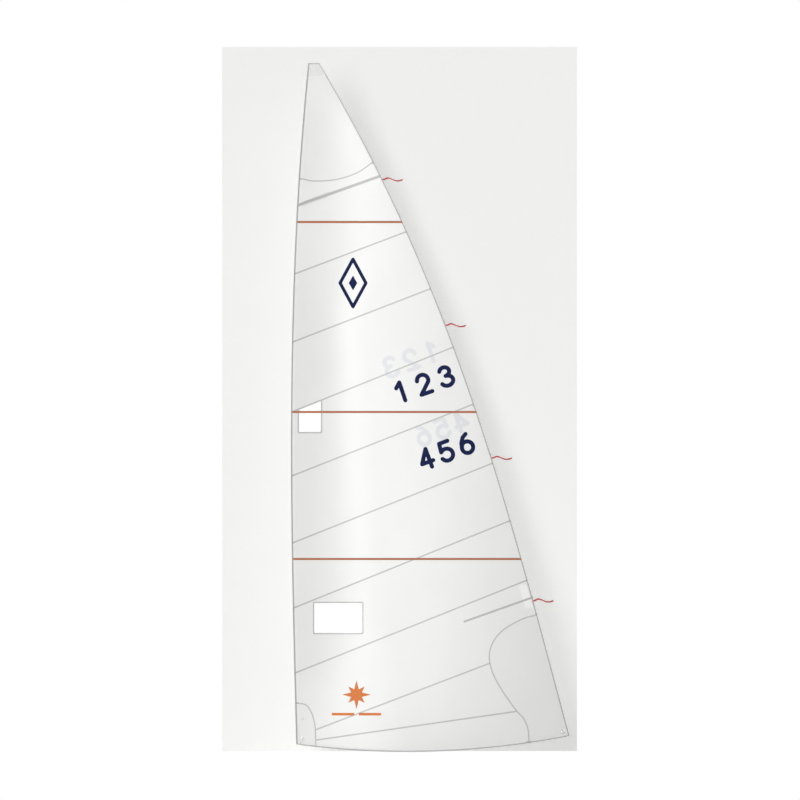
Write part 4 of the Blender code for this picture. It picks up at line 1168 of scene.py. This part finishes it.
def rings():
    """Pressed rings: a flange on port, a barrel through the cloth, and a washer under its rolled lip."""
    for corner, (right, up, hole, flange) in RINGS.items():
        place = seat(CLEW_X * (right < 0) + right, CLEW_Z * (right < 0) + up)
        port = -PORT_PATCH[0] + 2 * GAP
        starboard = -STARBOARD_PATCH[1] - 2 * GAP
        barrel, thick, lip = hole + 0.0012, 0.0015, 0.0008
        under = starboard - thick
        end = under - GAP - lip
        top, low = port + thick, under - GAP
        ring = [
            (hole, top - 0.0006), (hole + 0.0006, top), (flange - 0.0006, top), (flange, top - 0.0006),
            (flange, port + 0.0002), (flange - 0.0002, port), (barrel, port), (barrel, low),
            (barrel + 0.0024, low), (barrel + 0.0021, end + 0.0001), (barrel, end), (hole, end + 0.0004),
        ]
        washer = [(barrel + GAP, under)]
        for middle, turn in ((under + WASHER_ROUND, -90), (starboard - WASHER_ROUND, 0)):
            washer += arc(flange - WASHER_ROUND, middle, WASHER_ROUND, WASHER_ROUND, turn, turn + 90, 4)
        washer.append((barrel + GAP, starboard))
        for name, profile in ((f"{corner}_ring", ring), (f"{corner}_ring_washer", washer)):
            piece = lathe(f"{name}_pressed", profile, place, RING_METAL)
            assign(piece, "stainless", name)


def telltales():
    """Ribbons that stream aft from the leech."""
    steps, strips = 60, 4
    for number in range(1, 5):
        joint = JOINTS[f"telltale_{number}_swings"]
        hinge, up = Vector(joint["pos_m"]), Vector(joint["axis"])
        edge = leech_x(hinge.z)
        out = (on_surface(edge, hinge.z) - on_surface(edge - 0.03, hinge.z)).normalized()
        root = hinge - out * TELLTALE_ROOT
        shape = bmesh.new()
        rows, centres = [], []
        for step in range(steps + 1):
            share = step / steps
            phase = 2 * pi * share
            ease = float(smoothstep(4 * share))
            centre = root + Vector((
                TELLTALE_LENGTH * share,
                TELLTALE_SIDE_WAVE * ease * sin(1.3 * phase),
                TELLTALE_WAVE * ease * sin(phase) * (1 - 0.25 * share),
            ))
            centres.append(centre)
            across = (up + Vector((0.0, 0.35 * ease * sin(1.7 * phase), 0.0))).normalized()
            taper = 1 - 0.12 * share
            rows.append([
                shape.verts.new(centre + across * TELLTALE_WIDTH * taper * (n / strips - 0.5))
                for n in range(strips + 1)
            ])
        skin(shape, rows)
        piece = finished(shape, f"ribbon_{number}", RIBBON_CLOTH, 60)
        thicken(piece, TELLTALE_THICK, 0.0)
        assign(piece, "ribbon", f"telltale_{number}", body=f"telltale_{number}_ribbon")
        run = sum((b - a).length for a, b in zip(centres, centres[1:]))


def dress(name, look, bevel=0.0, segments=2):
    """A better material, and softer edges, on a node that keeps its shape."""
    item = frame["nodes"][name]
    item.data.materials.clear()
    item.data.materials.append(look)
    if bevel:
        soft = item.modifiers.new("edges", "BEVEL")
        soft.width, soft.segments, soft.angle_limit = bevel, segments, radians(40)


def fittings():
    for side in ("port", "starboard"):
        dress(f"head_plate_{side}", BOARD_METAL, 0.0005, 3)
    for n in range(1, 5):
        dress(f"headboard_rivet_{n}", RIVET_METAL, 0.0003)
        dress(f"batten_{n}", FIBRE, 0.0006)
        dress(f"batten_{n}_cap", NYLON, 0.0007, 3)
    dress("leech_cleat", NYLON)
    dress("bolt_rope", ROPE)
    dress("leech_line", ROPE)

# The studio.
PIXEL = 0.01334
VIEW_X, VIEW_Z = 1.374, 4.596
BACKDROP = (-1.000, 3.735, -0.087, 9.305)
BACKDROP_Y, FLOOR_Z, FLOOR_SIZE = 0.80, -0.115, 60
STRIP_HEIGHT = 18.0
WORLD_FILL = 0.29


def stage_material(name, color, lit, backed, front_only=False):
    """A plain surface: part of its brightness is its own, for the camera and through film only."""
    made = bpy.data.materials.new(name)
    graph = Graph(made)
    graph.nodes.remove(graph.nodes["Principled BSDF"])
    strength = graph.rays("Camera", "Transmission") * backed
    surface = graph.add("AddShader", {
        0: graph.add("BsdfDiffuse", {"Color": (*shaded(color, lit), 1.0)}),
        1: graph.add("Emission", {"Color": (*color, 1.0), "Strength": strength}),
    })
    if front_only:
        back = graph.add("NewGeometry", output="Backfacing")
        surface = graph.add("MixShader", {0: back, 1: surface, 2: graph.add("BsdfTransparent")})
    graph.give(graph.nodes["Material Output"].inputs["Surface"], surface)
    return made


def plane(name, corners, look):
    mesh = bpy.data.meshes.new(name)
    mesh.from_pydata(corners, [], [(0, 1, 2, 3)])
    item = link(name, mesh, look)
    item.visible_shadow = False
    return item


def stage():
    """A pale panel behind the sail, seen only from the front, and a pale floor."""
    y, side = BACKDROP_Y, FLOOR_SIZE
    left, right, low, high = BACKDROP
    corners = [(left, y, low), (right, y, low), (right, y, high), (left, y, high)]
    panel = plane("backdrop", corners, stage_material("backdrop", (0.885, 0.888, 0.872), 1.0, 0.385, True))
    corners = [(-side, -side, 0), (side, -side, 0), (side, side, 0), (-side, side, 0)]
    ground = plane("floor", corners, stage_material("floor", (0.93, 0.93, 0.925), 0.80, 0.30))
    ground.location = (VIEW_X, 0, FLOOR_Z)
    return panel, ground


def lamp(name, kind, back, surfaces, state, **settings):
    """A lamp that shines from a direction. It is kept off some surfaces, or with INCLUDE lights them alone."""
    light = bpy.data.lights.new(name, kind)
    for key, value in settings.items():
        setattr(light, key, value)
    item = link(name, light)
    item.rotation_euler = back.to_track_quat("Z", "Y").to_euler()
    group = bpy.data.collections.new(f"{name}_lights")
    for surface in surfaces:
        group.objects.link(surface)
    item.light_linking.receiver_collection = group
    for linked in group.collection_objects:
        linked.light_linking.link_state = state
    return item


def sun(name, azimuth, elevation, size, strength, surfaces, state="EXCLUDE"):
    """A far soft lamp. Azimuth 0 shines from -Y, 90 from +X."""
    a, e = radians(azimuth), radians(elevation)
    back = Vector((sin(a) * cos(e), -cos(a) * cos(e), sin(e)))
    lamp(name, "SUN", back, surfaces, state, angle=radians(size), energy=strength)


def strip(name, x, y, width, radiance, never):
    """A tall soft box that faces the middle of the foot and lights the sail alone."""
    item = lamp(
        name, "AREA", Vector((x - VIEW_X, y, 0)), never, "EXCLUDE", shape="RECTANGLE",
        size=width, size_y=STRIP_HEIGHT, energy=radiance * pi * width * STRIP_HEIGHT,
    )
    item.location = (x, y, VIEW_Z)
    item.visible_camera = False


def lights(panel, ground):
    world = bpy.data.worlds.new("studio")
    bpy.context.scene.world = world
    graph = Graph(world)
    background = graph.nodes["Background"].inputs
    background["Color"].default_value = (1.0, 1.0, 1.0, 1.0)
    seen = graph.rays("Camera", "Glossy", "Transmission")
    graph.give(background["Strength"], graph.add("MapRange", {"Value": seen, "To Min": WORLD_FILL}))
    strip("key", 6.06, -14.98, 4.0, 5.05, (panel, ground))
    strip("near", 0.33, -3.0, 1.03, 3.44, (panel, ground))
    sun("rear_key", 145, 28, 30, 2.15, (panel, ground))
    sun("rear_fill", 212, 28, 40, 0.70, (panel, ground))
    sun("shade", -27, 12, 30, 0.74, (panel,), "INCLUDE")
    sun("floor_light", -27, 38, 30, 2.0, (ground,), "INCLUDE")


def camera():
    lens = bpy.data.cameras.new("camera")
    lens.type = "ORTHO"
    lens.ortho_scale = 800 * PIXEL
    lens.clip_start, lens.clip_end = 0.1, 100
    item = link("camera", lens)
    item.location = (VIEW_X, -20.0, VIEW_Z)
    item.rotation_euler = (radians(90), 0, 0)
    bpy.context.scene.camera = item
    bpy.context.scene.view_settings.view_transform = "Standard"


camera()
lights(*stage())
tapes()
panels()
patches()
windows()
stripes()
batten_bands()
marks()
pockets()
rings()
telltales()
fittings()
